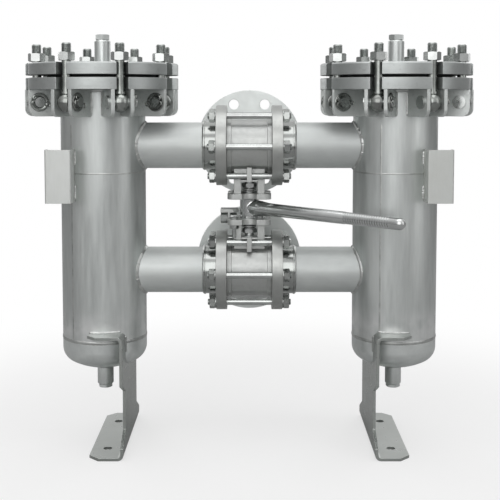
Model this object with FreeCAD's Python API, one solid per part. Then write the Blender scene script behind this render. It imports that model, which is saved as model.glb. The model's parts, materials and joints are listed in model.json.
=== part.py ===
import FreeCAD, Part
import math
import os

# Duplex strainer: two filter vessels side by side, joined by two three-way ball
# valves that share one changeover lever. Millimetres. +X is to the right, +Y to the
# rear, +Z up. The vessels and the lever stand in the plane Y = 0 while they are
# modelled. The finished parts are moved so that the origin is on the floor, at the
# centre of the four foot holes.

V = FreeCAD.Vector

# Main layout
VESSEL_OFFSET = 243.0
LOWER_BRANCH_Z = 294.5
BRANCH_SPACING = 208.5

# Filter vessels
SHELL_OD = 139.7
SHELL_WALL = 3.0
SHELL_BOTTOM_Z = 185.0
FLANGE_RISE = 92.0
HEAD_KNUCKLE = 26.0
HEAD_CROWN = 118.0
HEAD_SKIRT = 17.0
SEAT_RING_DROP = 46.0
SEAT_RING_THICKNESS = 6.0
SEAT_RING_WIDTH = 11.85
NIPPLE_OD = 26.9
NIPPLE_BORE = 21.0
NIPPLE_INNER_REACH = 4.0
DRAIN_DROP = 36.0
DRAIN_CHAMFER = 1.5
DRAIN_PLUG_RECESS = 2.0
PLUG_THREAD = 14.0

# Slotted flange, gasket and slotted cover
FLANGE_OD = 250.0
FLANGE_THICKNESS = 19.0
GASKET_THICKNESS = 4.5
GASKET_OD = 178.0
COVER_THICKNESS = 19.5
COVER_CHAMFER = 2.0
VENT_HEIGHT = 38.0
VENT_CHAMFER = 1.2
VENT_PLUG_AF = 22.0
VENT_PLUG_HEAD = 10.0

# Swing bolts with their nuts, hinge pins and lugs
BOLT_COUNT = 8
BOLT_FIRST_ANGLE = 22.5
BOLT_EDGE = 16.5
BOLT_DIAMETER = 16.0
SHANK_DIAMETER = 14.7
SLOT_WIDTH = 18.5
SLOT_OVERRUN = 5.0
PIN_DROP = 20.0
PIN_DIAMETER = 16.0
PIN_CLEARANCE = 0.25
EYE_WIDTH = 18.0
EYE_OD = 32.0
EYE_SIDE_CLEARANCE = 3.5
NUT_AF = 24.0
NUT_THICKNESS = 13.6
NUT_BEVEL_ANGLE = 30.0
NUT_SLACK = 1.9
STUD_REACH = 14.0
LUG_THICKNESS = 6.0
LUG_HEIGHT = 43.0
LUG_CORNER = 12.0
PIN_HEAD_OD = 21.0
PIN_HEAD_THICKNESS = 3.5
PIN_TAIL = 7.0
TURNED_PIN = 8

# Branch pipes and the two valves
PIPE_OD = 76.1
PIPE_WALL = 2.9
END_PLATE_OD = 133.0
END_PLATE_INNER_X = 37.0
END_PLATE_THICKNESS = 17.6
STUB_OD = 80.0
STUB_END_X = 76.0
TIE_ROD_COUNT = 6
TIE_ROD_CIRCLE = 114.0
TIE_ROD_DIAMETER = 11.0
TIE_ROD_CLEARANCE = 0.3
TIE_ROD_HALF_LENGTH = 68.5
TIE_NUT_AF = 19.0
TIE_NUT_THICKNESS = 10.0
REAR_STUD_DEPTH = 10.0
BODY_ACROSS = 85.0
BODY_SIDES = 12
BODY_BARREL_HALF = 29.5
BODY_RIM_OD = 91.0
BODY_BORE = 76.0
BALL_RADIUS = 36.0
PORT_BORE = 48.0
BALL_BANDS = 4
BALL_POLE_RADIUS = 18.0
SEAT_OD = 60.0
SEAT_GAP = 0.5
SEAT_RECESS = 1.0

# Valve neck with window and mounting pad, measured from the valve centre
BOSS_WIDTH = 51.0
BOSS_DEPTH = 44.0
SILL_CLEARANCE = 0.5
SILL_THICKNESS = 3.0
RIB_WIDTH = 8.0
RIB_DEPTH = 5.0
RIB_NEAR = 35.0
PAD_NEAR = 78.5
PAD_THICKNESS = 9.0
PAD_WIDTH = 72.0
PAD_CORNER = 11.0
PAD_NOTCH = 12.0
PAD_HOLE = 7.0
PAD_HOLE_PLACE = 25.0
WINDOW_WIDTH = 27.0
STEM_DIAMETER = 16.0
STEM_CLEARANCE = 0.4
STEM_SLOT_DEPTH = 6.0
GLAND_NUT_AF = 22.0
GLAND_NUT_THICKNESS = 7.0
SPRING_OD = 24.0
SPRING_THICKNESS = 8.0
SPRING_CLEARANCE = 1.0

# Rear ports
PORT_NECK_OD = 71.0
PORT_NECK_END_Y = 70.0
PORT_FACE_Y = 142.0
PORT_FLANGE_OD = 185.0
PORT_FLANGE_THICKNESS = 18.0
PORT_FACE_RAISE = 3.0
PORT_FACE_OD = 122.0
PORT_BOLT_CIRCLE = 145.0
PORT_BOLT_HOLE = 18.0
PORT_BOLT_COUNT = 8

# Changeover lever
HUB_OD = 31.0
HUB_CLEARANCE = 0.8
LEVER_RISE = 17.0
LEVER_ANGLE = -45.0
LEVER_TRAVEL = 90.0
LEVER_LENGTH = 318.0
LEVER_ROOT_OD = 27.0
LEVER_ROOT_INSET = 3.0
LEVER_ROOT_END = 42.0
LEVER_OD = 20.5
LEVER_TIP_OD = 18.5
GRIP_START = 208.0

# Lever stops on the lower mounting pad
STOP_PLATE_THICKNESS = 6.0
STOP_PLATE_FRONT_Y = -8.0
STOP_PLATE_REAR_Y = 18.0
STOP_PLATE_OUTER_X = 48.0
STOP_PLATE_INNER_X = 18.0
STOP_PLATE_HEIGHT = 15.0
STOP_WEB_THICKNESS = 4.0
STOP_HANDLE_GAP = 1.0
STOP_PIN_DIAMETER = 9.0
STOP_PIN_X = 25.0
STOP_PIN_REACH = 10.5
STOP_BOLT_DIAMETER = 10.0
STOP_BOLT_AF = 17.0
STOP_BOLT_RISE = 0.3
STOP_BOLT_END = 10.0

# Legs, bent from sheet
LEG_INNER_X = 202.0
LEG_SHEET = 5.0
LEG_BEND = 5.0
LEG_RISE = 17.0
LEG_FRONT_Y = -99.0
LEG_REAR_Y = 95.0
LEG_STEP_TOP_Z = 122.0
LEG_STEP_BOTTOM_Z = 104.0
LEG_STEP_Y = -58.0
LEG_FLARE_Z = 40.0
FOOT_SIDE_HEIGHT = 20.0
FOOT_FRONT_Y = -96.0
FOOT_REAR_Y = 135.0
FOOT_OUTER_X = 259.0
FOOT_HOLE_X = 233.4
FOOT_HOLE_FRONT_Y = -49.0
FOOT_HOLE_REAR_Y = 88.0
FOOT_HOLE = 14.0
FOOT_CORNER = 16.0
SHELF_OUTER_X = 260.0
SHELF_CORNER = 14.0

# Blank name-plate brackets
BRACKET_SHEET = 2.5
BRACKET_BOTTOM_Z = 415.0
BRACKET_HEIGHT = 85.0
BRACKET_FRONT_Y = -93.0
BRACKET_INNER = 38.0
BRACKET_OUTER = 80.0
BRACKET_RETURN = 16.0
BRACKET_CORNER = 6.0

# Baskets
BASKET_GAP = 14.85
BASKET_WALL = 1.5
BASKET_LIFT = 20.0
BASKET_RIM_GAP = 4.85
BASKET_RIM_THICKNESS = 3.0
BASKET_FLOOR = 3.0
BASKET_COLUMNS = 6
BASKET_ROWS = 2
BASKET_BAND = 20.0
BASKET_RIB = 14.0
BAIL_DIAMETER = 6.0
BAIL_DROP = 7.0

# Values that follow from the ones above
UPPER_BRANCH_Z = LOWER_BRANCH_Z + BRANCH_SPACING
FLANGE_BOTTOM_Z = UPPER_BRANCH_Z + FLANGE_RISE
SEAT_RING_Z = UPPER_BRANCH_Z - SEAT_RING_DROP
PIN_Z = FLANGE_BOTTOM_Z - PIN_DROP
BASKET_BOTTOM_Z = SHELL_BOTTOM_Z + BASKET_LIFT
BAIL_TOP_Z = FLANGE_BOTTOM_Z - BAIL_DROP
LEG_TOP_Z = SHELL_BOTTOM_Z + LEG_RISE
SHELL_R = SHELL_OD / 2
SHELL_BORE_R = SHELL_R - SHELL_WALL
SEAT_RING_BORE = 2 * (SHELL_BORE_R - SEAT_RING_WIDTH)
BASKET_OD = 2 * (SHELL_BORE_R - BASKET_GAP)
BASKET_RIM_OD = 2 * (SHELL_BORE_R - BASKET_RIM_GAP)
BOLT_CIRCLE = FLANGE_OD - 2 * BOLT_EDGE
FLANGE_TOP_Z = FLANGE_BOTTOM_Z + FLANGE_THICKNESS
COVER_BOTTOM_Z = FLANGE_TOP_Z + GASKET_THICKNESS
COVER_TOP_Z = COVER_BOTTOM_Z + COVER_THICKNESS
NUT_BOTTOM_Z = COVER_TOP_Z + NUT_SLACK
STUD_TOP_Z = NUT_BOTTOM_Z + NUT_THICKNESS + STUD_REACH
PIN_HOLE_R = PIN_DIAMETER / 2 + PIN_CLEARANCE
LUG_INNER = EYE_WIDTH / 2 + EYE_SIDE_CLEARANCE
LUG_OUTER = LUG_INNER + LUG_THICKNESS
PIPE_BORE_R = PIPE_OD / 2 - PIPE_WALL
END_PLATE_OUTER_X = END_PLATE_INNER_X + END_PLATE_THICKNESS
PORT_BACK_Y = PORT_FACE_Y - PORT_FLANGE_THICKNESS
LOWER_PAD_TOP_Z = LOWER_BRANCH_Z + PAD_NEAR + PAD_THICKNESS
UPPER_PAD_BOTTOM_Z = UPPER_BRANCH_Z - PAD_NEAR - PAD_THICKNESS
LEVER_Z = LOWER_PAD_TOP_Z + LEVER_RISE
STOP_PLATE_TOP_Z = LOWER_PAD_TOP_Z + STOP_PLATE_HEIGHT
STOP_BOLT_Z = LOWER_PAD_TOP_Z + STOP_BOLT_RISE

SIDES = {"left": -1, "right": 1}
VALVES = {"upper": (UPPER_BRANCH_Z, -1), "lower": (LOWER_BRANCH_Z, 1)}


# Basic forms
def cylinder_z(diameter, low, high, x=0.0, y=0.0):
    return Part.makeCylinder(diameter / 2, high - low, V(x, y, low), V(0, 0, 1))


def cylinder_x(diameter, low, high, y=0.0, z=0.0):
    return Part.makeCylinder(diameter / 2, high - low, V(low, y, z), V(1, 0, 0))


def cylinder_y(diameter, low, high, x=0.0, z=0.0):
    return Part.makeCylinder(diameter / 2, high - low, V(x, low, z), V(0, 1, 0))


def block(low, high):
    size = [b - a for a, b in zip(low, high)]
    return Part.makeBox(*size, V(*low))


def face_of(points):
    return Part.Face(Part.makePolygon(points + points[:1]))


def prism_z(across, sides, low, high):
    # A regular prism on the Z axis, sized across its flats
    radius = across / 2 / math.cos(math.pi / sides)
    points = []
    for i in range(sides):
        angle = 2 * math.pi * (i + 0.5) / sides
        points.append(V(radius * math.cos(angle), radius * math.sin(angle), low))
    return face_of(points).extrude(V(0, 0, high - low))


def prism_x(across, sides, low, high):
    shape = prism_z(across, sides, low, high)
    shape.rotate(V(0, 0, 0), V(0, 1, 0), 90)
    return shape


def placed(shape, x=0.0, y=0.0, z=0.0, turn=0.0):
    copy = shape.copy()
    copy.rotate(V(0, 0, 0), V(0, 0, 1), turn)
    copy.translate(V(x, y, z))
    return copy


def group(solids):
    return Part.makeCompound(solids)


def side_of(shape, sign):
    # Right-hand shapes are modelled first, and left-hand ones are mirrored
    if sign > 0:
        return shape
    return shape.mirror(V(0, 0, 0), V(1, 0, 0))


def bolt_angles():
    return [BOLT_FIRST_ANGLE + 360.0 / BOLT_COUNT * i for i in range(BOLT_COUNT)]


# Filter vessel
def vessel_shell(sign):
    x = sign * VESSEL_OFFSET
    shell = cylinder_z(SHELL_OD, SHELL_BOTTOM_Z, FLANGE_BOTTOM_Z, x)
    shell = shell.cut(cylinder_z(2 * SHELL_BORE_R, SHELL_BOTTOM_Z, FLANGE_BOTTOM_Z, x))
    ends = sorted([x, 0.0])
    for z in (UPPER_BRANCH_Z, LOWER_BRANCH_Z):
        shell = shell.cut(cylinder_x(2 * PIPE_BORE_R, ends[0], ends[1], 0.0, z))
    top = SEAT_RING_Z + SEAT_RING_THICKNESS
    seat = cylinder_z(2 * SHELL_BORE_R, SEAT_RING_Z, top, x)
    seat = seat.cut(cylinder_z(SEAT_RING_BORE, SEAT_RING_Z, top, x))
    return group([shell, seat])


def head_outline(radius, knuckle, crown):
    # Half profile of the outside or inside of a torispherical head, from the weld
    # down to the axis, with the place where the knuckle meets the crown
    bend_x = radius - knuckle
    bend_z = SHELL_BOTTOM_Z - HEAD_SKIRT
    crown_z = bend_z + math.sqrt((crown - knuckle) ** 2 - bend_x ** 2)
    lean = math.asin(bend_x / (crown - knuckle))
    middle = (math.pi / 2 - lean) / 2
    meet = V(crown * math.sin(lean), 0, crown_z - crown * math.cos(lean))
    knuckle_mid = V(bend_x + knuckle * math.cos(middle), 0, bend_z - knuckle * math.sin(middle))
    crown_mid = V(crown * math.sin(lean / 2), 0, crown_z - crown * math.cos(lean / 2))
    top = V(radius, 0, SHELL_BOTTOM_Z)
    tangent = V(radius, 0, bend_z)
    bottom = V(0, 0, crown_z - crown)
    edges = [
        Part.makeLine(top, tangent),
        Part.Arc(tangent, knuckle_mid, meet).toShape(),
        Part.Arc(meet, crown_mid, bottom).toShape(),
    ]
    return edges, bottom.z


def head_bottom_z():
    return head_outline(SHELL_R, HEAD_KNUCKLE, HEAD_CROWN)[1]


def head_solid(radius, knuckle, crown):
    edges, bottom = head_outline(radius, knuckle, crown)
    edges.append(Part.makeLine(V(0, 0, bottom), V(0, 0, SHELL_BOTTOM_Z)))
    edges.append(Part.makeLine(V(0, 0, SHELL_BOTTOM_Z), V(radius, 0, SHELL_BOTTOM_Z)))
    face = Part.Face(Part.Wire(edges))
    return face.revolve(V(0, 0, 0), V(0, 0, 1), 360)


def vessel_head(sign):
    outside = head_solid(SHELL_R, HEAD_KNUCKLE, HEAD_CROWN)
    inside = head_solid(SHELL_BORE_R, HEAD_KNUCKLE - SHELL_WALL, HEAD_CROWN - SHELL_WALL)
    low = head_bottom_z() - DRAIN_DROP
    dish = outside.cut(inside).cut(cylinder_z(NIPPLE_OD, low, SHELL_BOTTOM_Z))
    nipple = cylinder_z(NIPPLE_OD, low, head_bottom_z() + NIPPLE_INNER_REACH)
    lowest = [edge for edge in nipple.Edges if edge.BoundBox.ZMax < low + DRAIN_CHAMFER]
    nipple = nipple.makeChamfer(DRAIN_CHAMFER, lowest)
    nipple = nipple.cut(cylinder_z(NIPPLE_BORE, low, SHELL_BOTTOM_Z))
    plug_low = low + DRAIN_PLUG_RECESS
    plug = cylinder_z(NIPPLE_BORE, plug_low, plug_low + PLUG_THREAD)
    shapes = [dish, nipple, plug]
    return group([placed(shape, sign * VESSEL_OFFSET) for shape in shapes])


def slot_cutters(low, high):
    # Eight slots, open to the rim, in which the swing bolts lie
    radius = BOLT_CIRCLE / 2
    reach = FLANGE_OD / 2 + SLOT_OVERRUN
    slot = cylinder_z(SLOT_WIDTH, low, high, radius)
    slot = slot.fuse(block((radius, -SLOT_WIDTH / 2, low), (reach, SLOT_WIDTH / 2, high)))
    return [placed(slot, turn=angle) for angle in bolt_angles()]


def vessel_flange(sign):
    ring = cylinder_z(FLANGE_OD, FLANGE_BOTTOM_Z, FLANGE_TOP_Z)
    ring = ring.cut(cylinder_z(2 * SHELL_BORE_R, FLANGE_BOTTOM_Z, FLANGE_TOP_Z))
    ring = ring.cut(slot_cutters(FLANGE_BOTTOM_Z, FLANGE_TOP_Z))
    return placed(ring, sign * VESSEL_OFFSET)


def gasket(sign):
    ring = cylinder_z(GASKET_OD, FLANGE_TOP_Z, COVER_BOTTOM_Z)
    ring = ring.cut(cylinder_z(2 * SHELL_BORE_R, FLANGE_TOP_Z, COVER_BOTTOM_Z))
    return placed(ring, sign * VESSEL_OFFSET)


def cover(sign):
    rim = FLANGE_OD / 2
    disc = Part.makeCylinder(rim, COVER_THICKNESS - COVER_CHAMFER, V(0, 0, COVER_BOTTOM_Z))
    bevel = Part.makeCone(rim, rim - COVER_CHAMFER, COVER_CHAMFER, V(0, 0, COVER_TOP_Z - COVER_CHAMFER))
    disc = disc.fuse(bevel).cut(slot_cutters(COVER_BOTTOM_Z, COVER_TOP_Z))
    disc = disc.cut(cylinder_z(NIPPLE_OD, COVER_BOTTOM_Z, COVER_TOP_Z))
    return placed(disc, sign * VESSEL_OFFSET)


def vent_nipple(sign):
    top = COVER_TOP_Z + VENT_HEIGHT
    tube = cylinder_z(NIPPLE_OD, COVER_BOTTOM_Z, top)
    highest = [edge for edge in tube.Edges if edge.BoundBox.ZMin > top - VENT_CHAMFER]
    tube = tube.makeChamfer(VENT_CHAMFER, highest)
    tube = tube.cut(cylinder_z(NIPPLE_BORE, COVER_BOTTOM_Z, top))
    plug = cylinder_z(NIPPLE_BORE, top - PLUG_THREAD, top)
    plug = plug.fuse(prism_z(VENT_PLUG_AF, 6, top, top + VENT_PLUG_HEAD))
    return group([placed(tube, sign * VESSEL_OFFSET), placed(plug, sign * VESSEL_OFFSET)])


# Swing bolts, modelled at the +X side of a vessel and then turned into place
def eye_bolt():
    # The eye is a ball with two flats, forged onto the shank
    radius = BOLT_CIRCLE / 2
    half = EYE_WIDTH / 2
    eye = Part.makeSphere(EYE_OD / 2, V(radius, 0, PIN_Z))
    eye = eye.common(cylinder_y(EYE_OD, -half, half, radius, PIN_Z))
    shank = cylinder_z(SHANK_DIAMETER, PIN_Z, NUT_BOTTOM_Z, radius)
    shank = shank.fuse(cylinder_z(BOLT_DIAMETER, NUT_BOTTOM_Z, STUD_TOP_Z, radius))
    hole = cylinder_y(2 * PIN_HOLE_R, -half, half, radius, PIN_Z)
    return eye.fuse(shank).cut(hole)


def bolt_nut():
    # A hexagon nut with its corners turned off at the top
    top = NUT_BOTTOM_Z + NUT_THICKNESS
    nut = prism_z(NUT_AF, 6, NUT_BOTTOM_Z, top)
    reach = NUT_AF / math.sqrt(3)
    drop = (reach - NUT_AF / 2) * math.tan(math.radians(NUT_BEVEL_ANGLE))
    turned = cylinder_z(2 * reach, NUT_BOTTOM_Z, top - drop)
    turned = turned.fuse(Part.makeCone(reach, NUT_AF / 2, drop, V(0, 0, top - drop)))
    nut = nut.common(turned).cut(cylinder_z(BOLT_DIAMETER, NUT_BOTTOM_Z, top))
    nut.translate(V(BOLT_CIRCLE / 2, 0, 0))
    return nut


def swing_bolt(sign, angle):
    x = sign * VESSEL_OFFSET
    return group([placed(shape, x, turn=angle) for shape in (eye_bolt(), bolt_nut())])


def lug_plate():
    # A plate on edge between the vessel wall and the rim, with a rounded outer corner
    low = FLANGE_BOTTOM_Z - LUG_HEIGHT
    reach = FLANGE_OD / 2
    turn = LUG_CORNER * math.sqrt(0.5)
    arc = Part.Arc(
        V(reach - LUG_CORNER, 0, low),
        V(reach - LUG_CORNER + turn, 0, low + LUG_CORNER - turn),
        V(reach, 0, low + LUG_CORNER),
    )
    edges = [
        arc.toShape(),
        Part.makeLine(V(reach, 0, low + LUG_CORNER), V(reach, 0, FLANGE_BOTTOM_Z)),
        Part.makeLine(V(reach, 0, FLANGE_BOTTOM_Z), V(0, 0, FLANGE_BOTTOM_Z)),
        Part.makeLine(V(0, 0, FLANGE_BOTTOM_Z), V(0, 0, low)),
        Part.makeLine(V(0, 0, low), V(reach - LUG_CORNER, 0, low)),
    ]
    plate = Part.Face(Part.Wire(edges)).extrude(V(0, LUG_THICKNESS, 0))
    plate = plate.cut(cylinder_y(2 * PIN_HOLE_R, 0, LUG_THICKNESS, BOLT_CIRCLE / 2, PIN_Z))
    plate.translate(V(0, LUG_INNER, 0))
    return plate.cut(cylinder_z(SHELL_OD, low, FLANGE_BOTTOM_Z))


def hinge_lugs(sign):
    near = lug_plate()
    far = near.mirror(V(0, 0, 0), V(0, 1, 0))
    plates = []
    for angle in bolt_angles():
        for plate in (near, far):
            plates.append(placed(plate, sign * VESSEL_OFFSET, turn=angle))
    return group(plates)


def hinge_pin():
    radius = BOLT_CIRCLE / 2
    head = cylinder_y(PIN_HEAD_OD, -LUG_OUTER - PIN_HEAD_THICKNESS, -LUG_OUTER, radius, PIN_Z)
    return head.fuse(cylinder_y(PIN_DIAMETER, -LUG_OUTER, LUG_OUTER + PIN_TAIL, radius, PIN_Z))


def hinge_pins(sign):
    # On the left vessel one pin is put in from the other side
    pins = []
    for number, angle in enumerate(bolt_angles(), 1):
        pin = hinge_pin()
        if sign < 0 and number == TURNED_PIN:
            pin = pin.mirror(V(0, 0, 0), V(0, 1, 0))
        pins.append(placed(pin, sign * VESSEL_OFFSET, turn=angle))
    return group(pins)


# Basket, hung from the seat ring
def basket(sign):
    rim_low = SEAT_RING_Z + SEAT_RING_THICKNESS
    rim_high = rim_low + BASKET_RIM_THICKNESS
    inner = BASKET_OD - 2 * BASKET_WALL
    body = cylinder_z(BASKET_OD, BASKET_BOTTOM_Z, rim_high)
    body = body.fuse(cylinder_z(BASKET_RIM_OD, rim_low, rim_high))
    body = body.cut(cylinder_z(inner, BASKET_BOTTOM_Z + BASKET_FLOOR, rim_high))
    height = (rim_low - BASKET_BOTTOM_Z - BASKET_BAND * (BASKET_ROWS + 1)) / BASKET_ROWS
    width = math.pi * BASKET_OD / BASKET_COLUMNS - BASKET_RIB
    windows = []
    for row in range(BASKET_ROWS):
        low = BASKET_BOTTOM_Z + BASKET_BAND + row * (height + BASKET_BAND)
        window = block((0, -width / 2, low), (BASKET_OD, width / 2, low + height))
        for column in range(BASKET_COLUMNS):
            windows.append(placed(window, turn=360.0 / BASKET_COLUMNS * column))
    body = body.cut(windows)
    half = inner / 2 - BAIL_DIAMETER / 2
    foot = rim_low - 2 * BAIL_DIAMETER
    spring = BAIL_TOP_Z - half
    path = Part.Wire([
        Part.makeLine(V(half, 0, foot), V(half, 0, spring)),
        Part.Arc(V(half, 0, spring), V(0, 0, BAIL_TOP_Z), V(-half, 0, spring)).toShape(),
        Part.makeLine(V(-half, 0, spring), V(-half, 0, foot)),
    ])
    section = Part.Wire(Part.makeCircle(BAIL_DIAMETER / 2, V(half, 0, foot), V(0, 0, 1)))
    bail = path.makePipeShell([section], True, False)
    return group([placed(body, sign * VESSEL_OFFSET), placed(bail, sign * VESSEL_OFFSET)])


# Branch pipes between the vessels and the valves
def branch_pipes(z):
    pipes = []
    for sign in SIDES.values():
        ends = sorted([sign * STUB_END_X, sign * VESSEL_OFFSET])
        pipe = cylinder_x(PIPE_OD, ends[0], ends[1], 0.0, z)
        pipe = pipe.cut(cylinder_x(2 * PIPE_BORE_R, ends[0], ends[1], 0.0, z))
        low = z - PIPE_OD
        pipes.append(pipe.cut(cylinder_z(SHELL_OD, low, z + PIPE_OD, sign * VESSEL_OFFSET)))
    return group(pipes)


# Three-piece valves, modelled about their own centre with the neck towards +Z
def rod_places():
    places = []
    for i in range(TIE_ROD_COUNT):
        angle = 2 * math.pi * i / TIE_ROD_COUNT - math.pi / 2
        places.append((TIE_ROD_CIRCLE / 2 * math.sin(angle), TIE_ROD_CIRCLE / 2 * math.cos(angle)))
    return places


def end_plates():
    plates = []
    plate = cylinder_x(END_PLATE_OD, END_PLATE_INNER_X, END_PLATE_OUTER_X)
    plate = plate.fuse(cylinder_x(STUB_OD, END_PLATE_OUTER_X, STUB_END_X))
    plate = plate.cut(cylinder_x(2 * PIPE_BORE_R, END_PLATE_INNER_X, STUB_END_X))
    hole = TIE_ROD_DIAMETER + 2 * TIE_ROD_CLEARANCE
    for y, z in rod_places():
        plate = plate.cut(cylinder_x(hole, END_PLATE_INNER_X, END_PLATE_OUTER_X, y, z))
    plates.append(plate)
    plates.append(plate.mirror(V(0, 0, 0), V(1, 0, 0)))
    return group(plates)


def rear_stud_start():
    # The rod that would cross the rear port is two studs in blind holes of its neck
    return PORT_NECK_OD / 2 - REAR_STUD_DEPTH


def tie_rods():
    solids = []
    for y, z in rod_places():
        if y > 0 and abs(z) < TIE_ROD_DIAMETER:
            stud = cylinder_x(TIE_ROD_DIAMETER, rear_stud_start(), TIE_ROD_HALF_LENGTH, y, z)
            solids.extend([stud, stud.mirror(V(0, 0, 0), V(1, 0, 0))])
        else:
            solids.append(cylinder_x(TIE_ROD_DIAMETER, -TIE_ROD_HALF_LENGTH, TIE_ROD_HALF_LENGTH, y, z))
    return solids


def tie_nuts():
    solids = []
    nut = prism_x(TIE_NUT_AF, 6, END_PLATE_OUTER_X, END_PLATE_OUTER_X + TIE_NUT_THICKNESS)
    nut = nut.cut(cylinder_x(TIE_ROD_DIAMETER, END_PLATE_INNER_X, TIE_ROD_HALF_LENGTH))
    for y, z in rod_places():
        outer = placed(nut, 0.0, y, z)
        solids.append(outer)
        solids.append(outer.mirror(V(0, 0, 0), V(1, 0, 0)))
    return solids


def neck():
    # Boss on the barrel, two pillars beside the window, the mounting pad, and a rib
    # that passes in front of the nearest tie rod
    low = BODY_BORE / 2
    half_width = BOSS_WIDTH / 2
    half_depth = BOSS_DEPTH / 2
    boss = block((-half_width, -half_depth, low), (half_width, half_depth, PAD_NEAR))
    rod_y, rod_z = rod_places()[1]
    room = TIE_ROD_DIAMETER / 2 + SILL_CLEARANCE
    sill_low = rod_z + room
    sill_high = sill_low + SILL_THICKNESS
    rib_back = rod_y - room
    rib_front = rib_back - RIB_DEPTH
    sill = block((-WINDOW_WIDTH / 2, rib_back, sill_low), (WINDOW_WIDTH / 2, 0, sill_high))
    window = block((-WINDOW_WIDTH / 2, -BOSS_DEPTH, sill_high), (WINDOW_WIDTH / 2, BOSS_DEPTH, PAD_NEAR))
    boss = boss.cut(window).fuse(sill)
    boss = boss.fuse(block((-RIB_WIDTH / 2, rib_front, RIB_NEAR), (RIB_WIDTH / 2, rib_back, sill_high)))
    boss = boss.fuse(block((-RIB_WIDTH / 2, rib_back, RIB_NEAR), (RIB_WIDTH / 2, 0, rod_z - room)))
    return boss.fuse(mounting_pad())


def mounting_pad():
    half = PAD_WIDTH / 2
    top = PAD_NEAR + PAD_THICKNESS
    pad = block((-half, -half, PAD_NEAR), (half, half, top))
    uprights = [edge for edge in pad.Edges if abs(edge.tangentAt(edge.FirstParameter).z) > 0.5]
    pad = pad.makeFillet(PAD_CORNER, uprights)
    notch = cylinder_z(2 * PAD_NOTCH, PAD_NEAR, top, half)
    hole = cylinder_z(PAD_HOLE, PAD_NEAR, top, PAD_HOLE_PLACE, PAD_HOLE_PLACE)
    for turn in range(0, 360, 90):
        pad = pad.cut([placed(notch, turn=turn), placed(hole, turn=turn)])
    return pad


def valve_body():
    body = prism_x(BODY_ACROSS, BODY_SIDES, -END_PLATE_INNER_X, END_PLATE_INNER_X)
    for low, high in ((-END_PLATE_INNER_X, -BODY_BARREL_HALF), (BODY_BARREL_HALF, END_PLATE_INNER_X)):
        body = body.fuse(cylinder_x(BODY_RIM_OD, low, high))
    body = body.fuse(cylinder_y(PORT_NECK_OD, 0, PORT_NECK_END_Y)).fuse(neck())
    body = body.cut(cylinder_x(BODY_BORE, -END_PLATE_INNER_X, END_PLATE_INNER_X))
    body = body.cut(cylinder_y(SEAT_OD, 0, END_PLATE_INNER_X - SEAT_RECESS))
    body = body.cut(cylinder_y(PORT_BORE, 0, PORT_NECK_END_Y))
    body = body.cut(cylinder_z(STEM_DIAMETER + 2 * STEM_CLEARANCE, 0, PAD_NEAR + PAD_THICKNESS))
    start = rear_stud_start()
    for low, high in ((start, END_PLATE_INNER_X), (-END_PLATE_INNER_X, -start)):
        body = body.cut(cylinder_x(TIE_ROD_DIAMETER, low, high, TIE_ROD_CIRCLE / 2, 0))
    return body.removeSplitter()


def ball_seats():
    near = math.sqrt(BALL_RADIUS ** 2 - (PORT_BORE / 2) ** 2) + SEAT_GAP
    side = cylinder_x(BODY_BORE, near, END_PLATE_INNER_X).cut(cylinder_x(PORT_BORE, near, END_PLATE_INNER_X))
    rear = cylinder_y(SEAT_OD, near, END_PLATE_INNER_X - SEAT_RECESS)
    rear = rear.cut(cylinder_y(PORT_BORE, near, END_PLATE_INNER_X - SEAT_RECESS))
    side = side.cut(cylinder_y(SEAT_OD, 0, END_PLATE_INNER_X))
    return group([side, side.mirror(V(0, 0, 0), V(1, 0, 0)), rear])


def ball():
    # The ball is turned in straight bands between its two pole flats
    lean = math.asin(BALL_POLE_RADIUS / BALL_RADIUS)
    outline = [V(0, 0, BALL_RADIUS * math.cos(lean))]
    for i in range(BALL_BANDS + 1):
        angle = lean + (math.pi - 2 * lean) * i / BALL_BANDS
        outline.append(V(BALL_RADIUS * math.sin(angle), 0, BALL_RADIUS * math.cos(angle)))
    outline.append(V(0, 0, -BALL_RADIUS * math.cos(lean)))
    solid = face_of(outline).revolve(V(0, 0, 0), V(0, 0, 1), 360)
    solid = solid.cut(cylinder_x(PORT_BORE, -BALL_RADIUS, 0)).cut(cylinder_y(PORT_BORE, 0, BALL_RADIUS))
    return solid


def stem_set():
    # Stem with its disc springs and gland nut in the window of the neck
    low = BALL_RADIUS * math.cos(math.asin(BALL_POLE_RADIUS / BALL_RADIUS))
    stem = cylinder_z(STEM_DIAMETER, low, PAD_NEAR + PAD_THICKNESS + STEM_SLOT_DEPTH)
    spring_top = PAD_NEAR - SPRING_CLEARANCE
    spring_low = spring_top - SPRING_THICKNESS
    spring = cylinder_z(SPRING_OD, spring_low, spring_top)
    nut = prism_z(GLAND_NUT_AF, 6, spring_low - GLAND_NUT_THICKNESS, spring_low)
    rings = [shape.cut(cylinder_z(STEM_DIAMETER, 0, PAD_NEAR)) for shape in (nut, spring)]
    return group([stem] + rings)


def port():
    pipe = cylinder_y(PIPE_OD, PORT_NECK_END_Y, PORT_BACK_Y)
    pipe = pipe.cut(cylinder_y(2 * PIPE_BORE_R, PORT_NECK_END_Y, PORT_BACK_Y))
    flange = cylinder_y(PORT_FLANGE_OD, PORT_BACK_Y, PORT_FACE_Y - PORT_FACE_RAISE)
    flange = flange.fuse(cylinder_y(PORT_FACE_OD, PORT_FACE_Y - PORT_FACE_RAISE, PORT_FACE_Y))
    flange = flange.cut(cylinder_y(2 * PIPE_BORE_R, PORT_BACK_Y, PORT_FACE_Y))
    for i in range(PORT_BOLT_COUNT):
        angle = 2 * math.pi * (i + 0.5) / PORT_BOLT_COUNT
        x = PORT_BOLT_CIRCLE / 2 * math.cos(angle)
        z = PORT_BOLT_CIRCLE / 2 * math.sin(angle)
        flange = flange.cut(cylinder_y(PORT_BOLT_HOLE, PORT_BACK_Y, PORT_FACE_Y, x, z))
    return group([pipe, flange])


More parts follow.
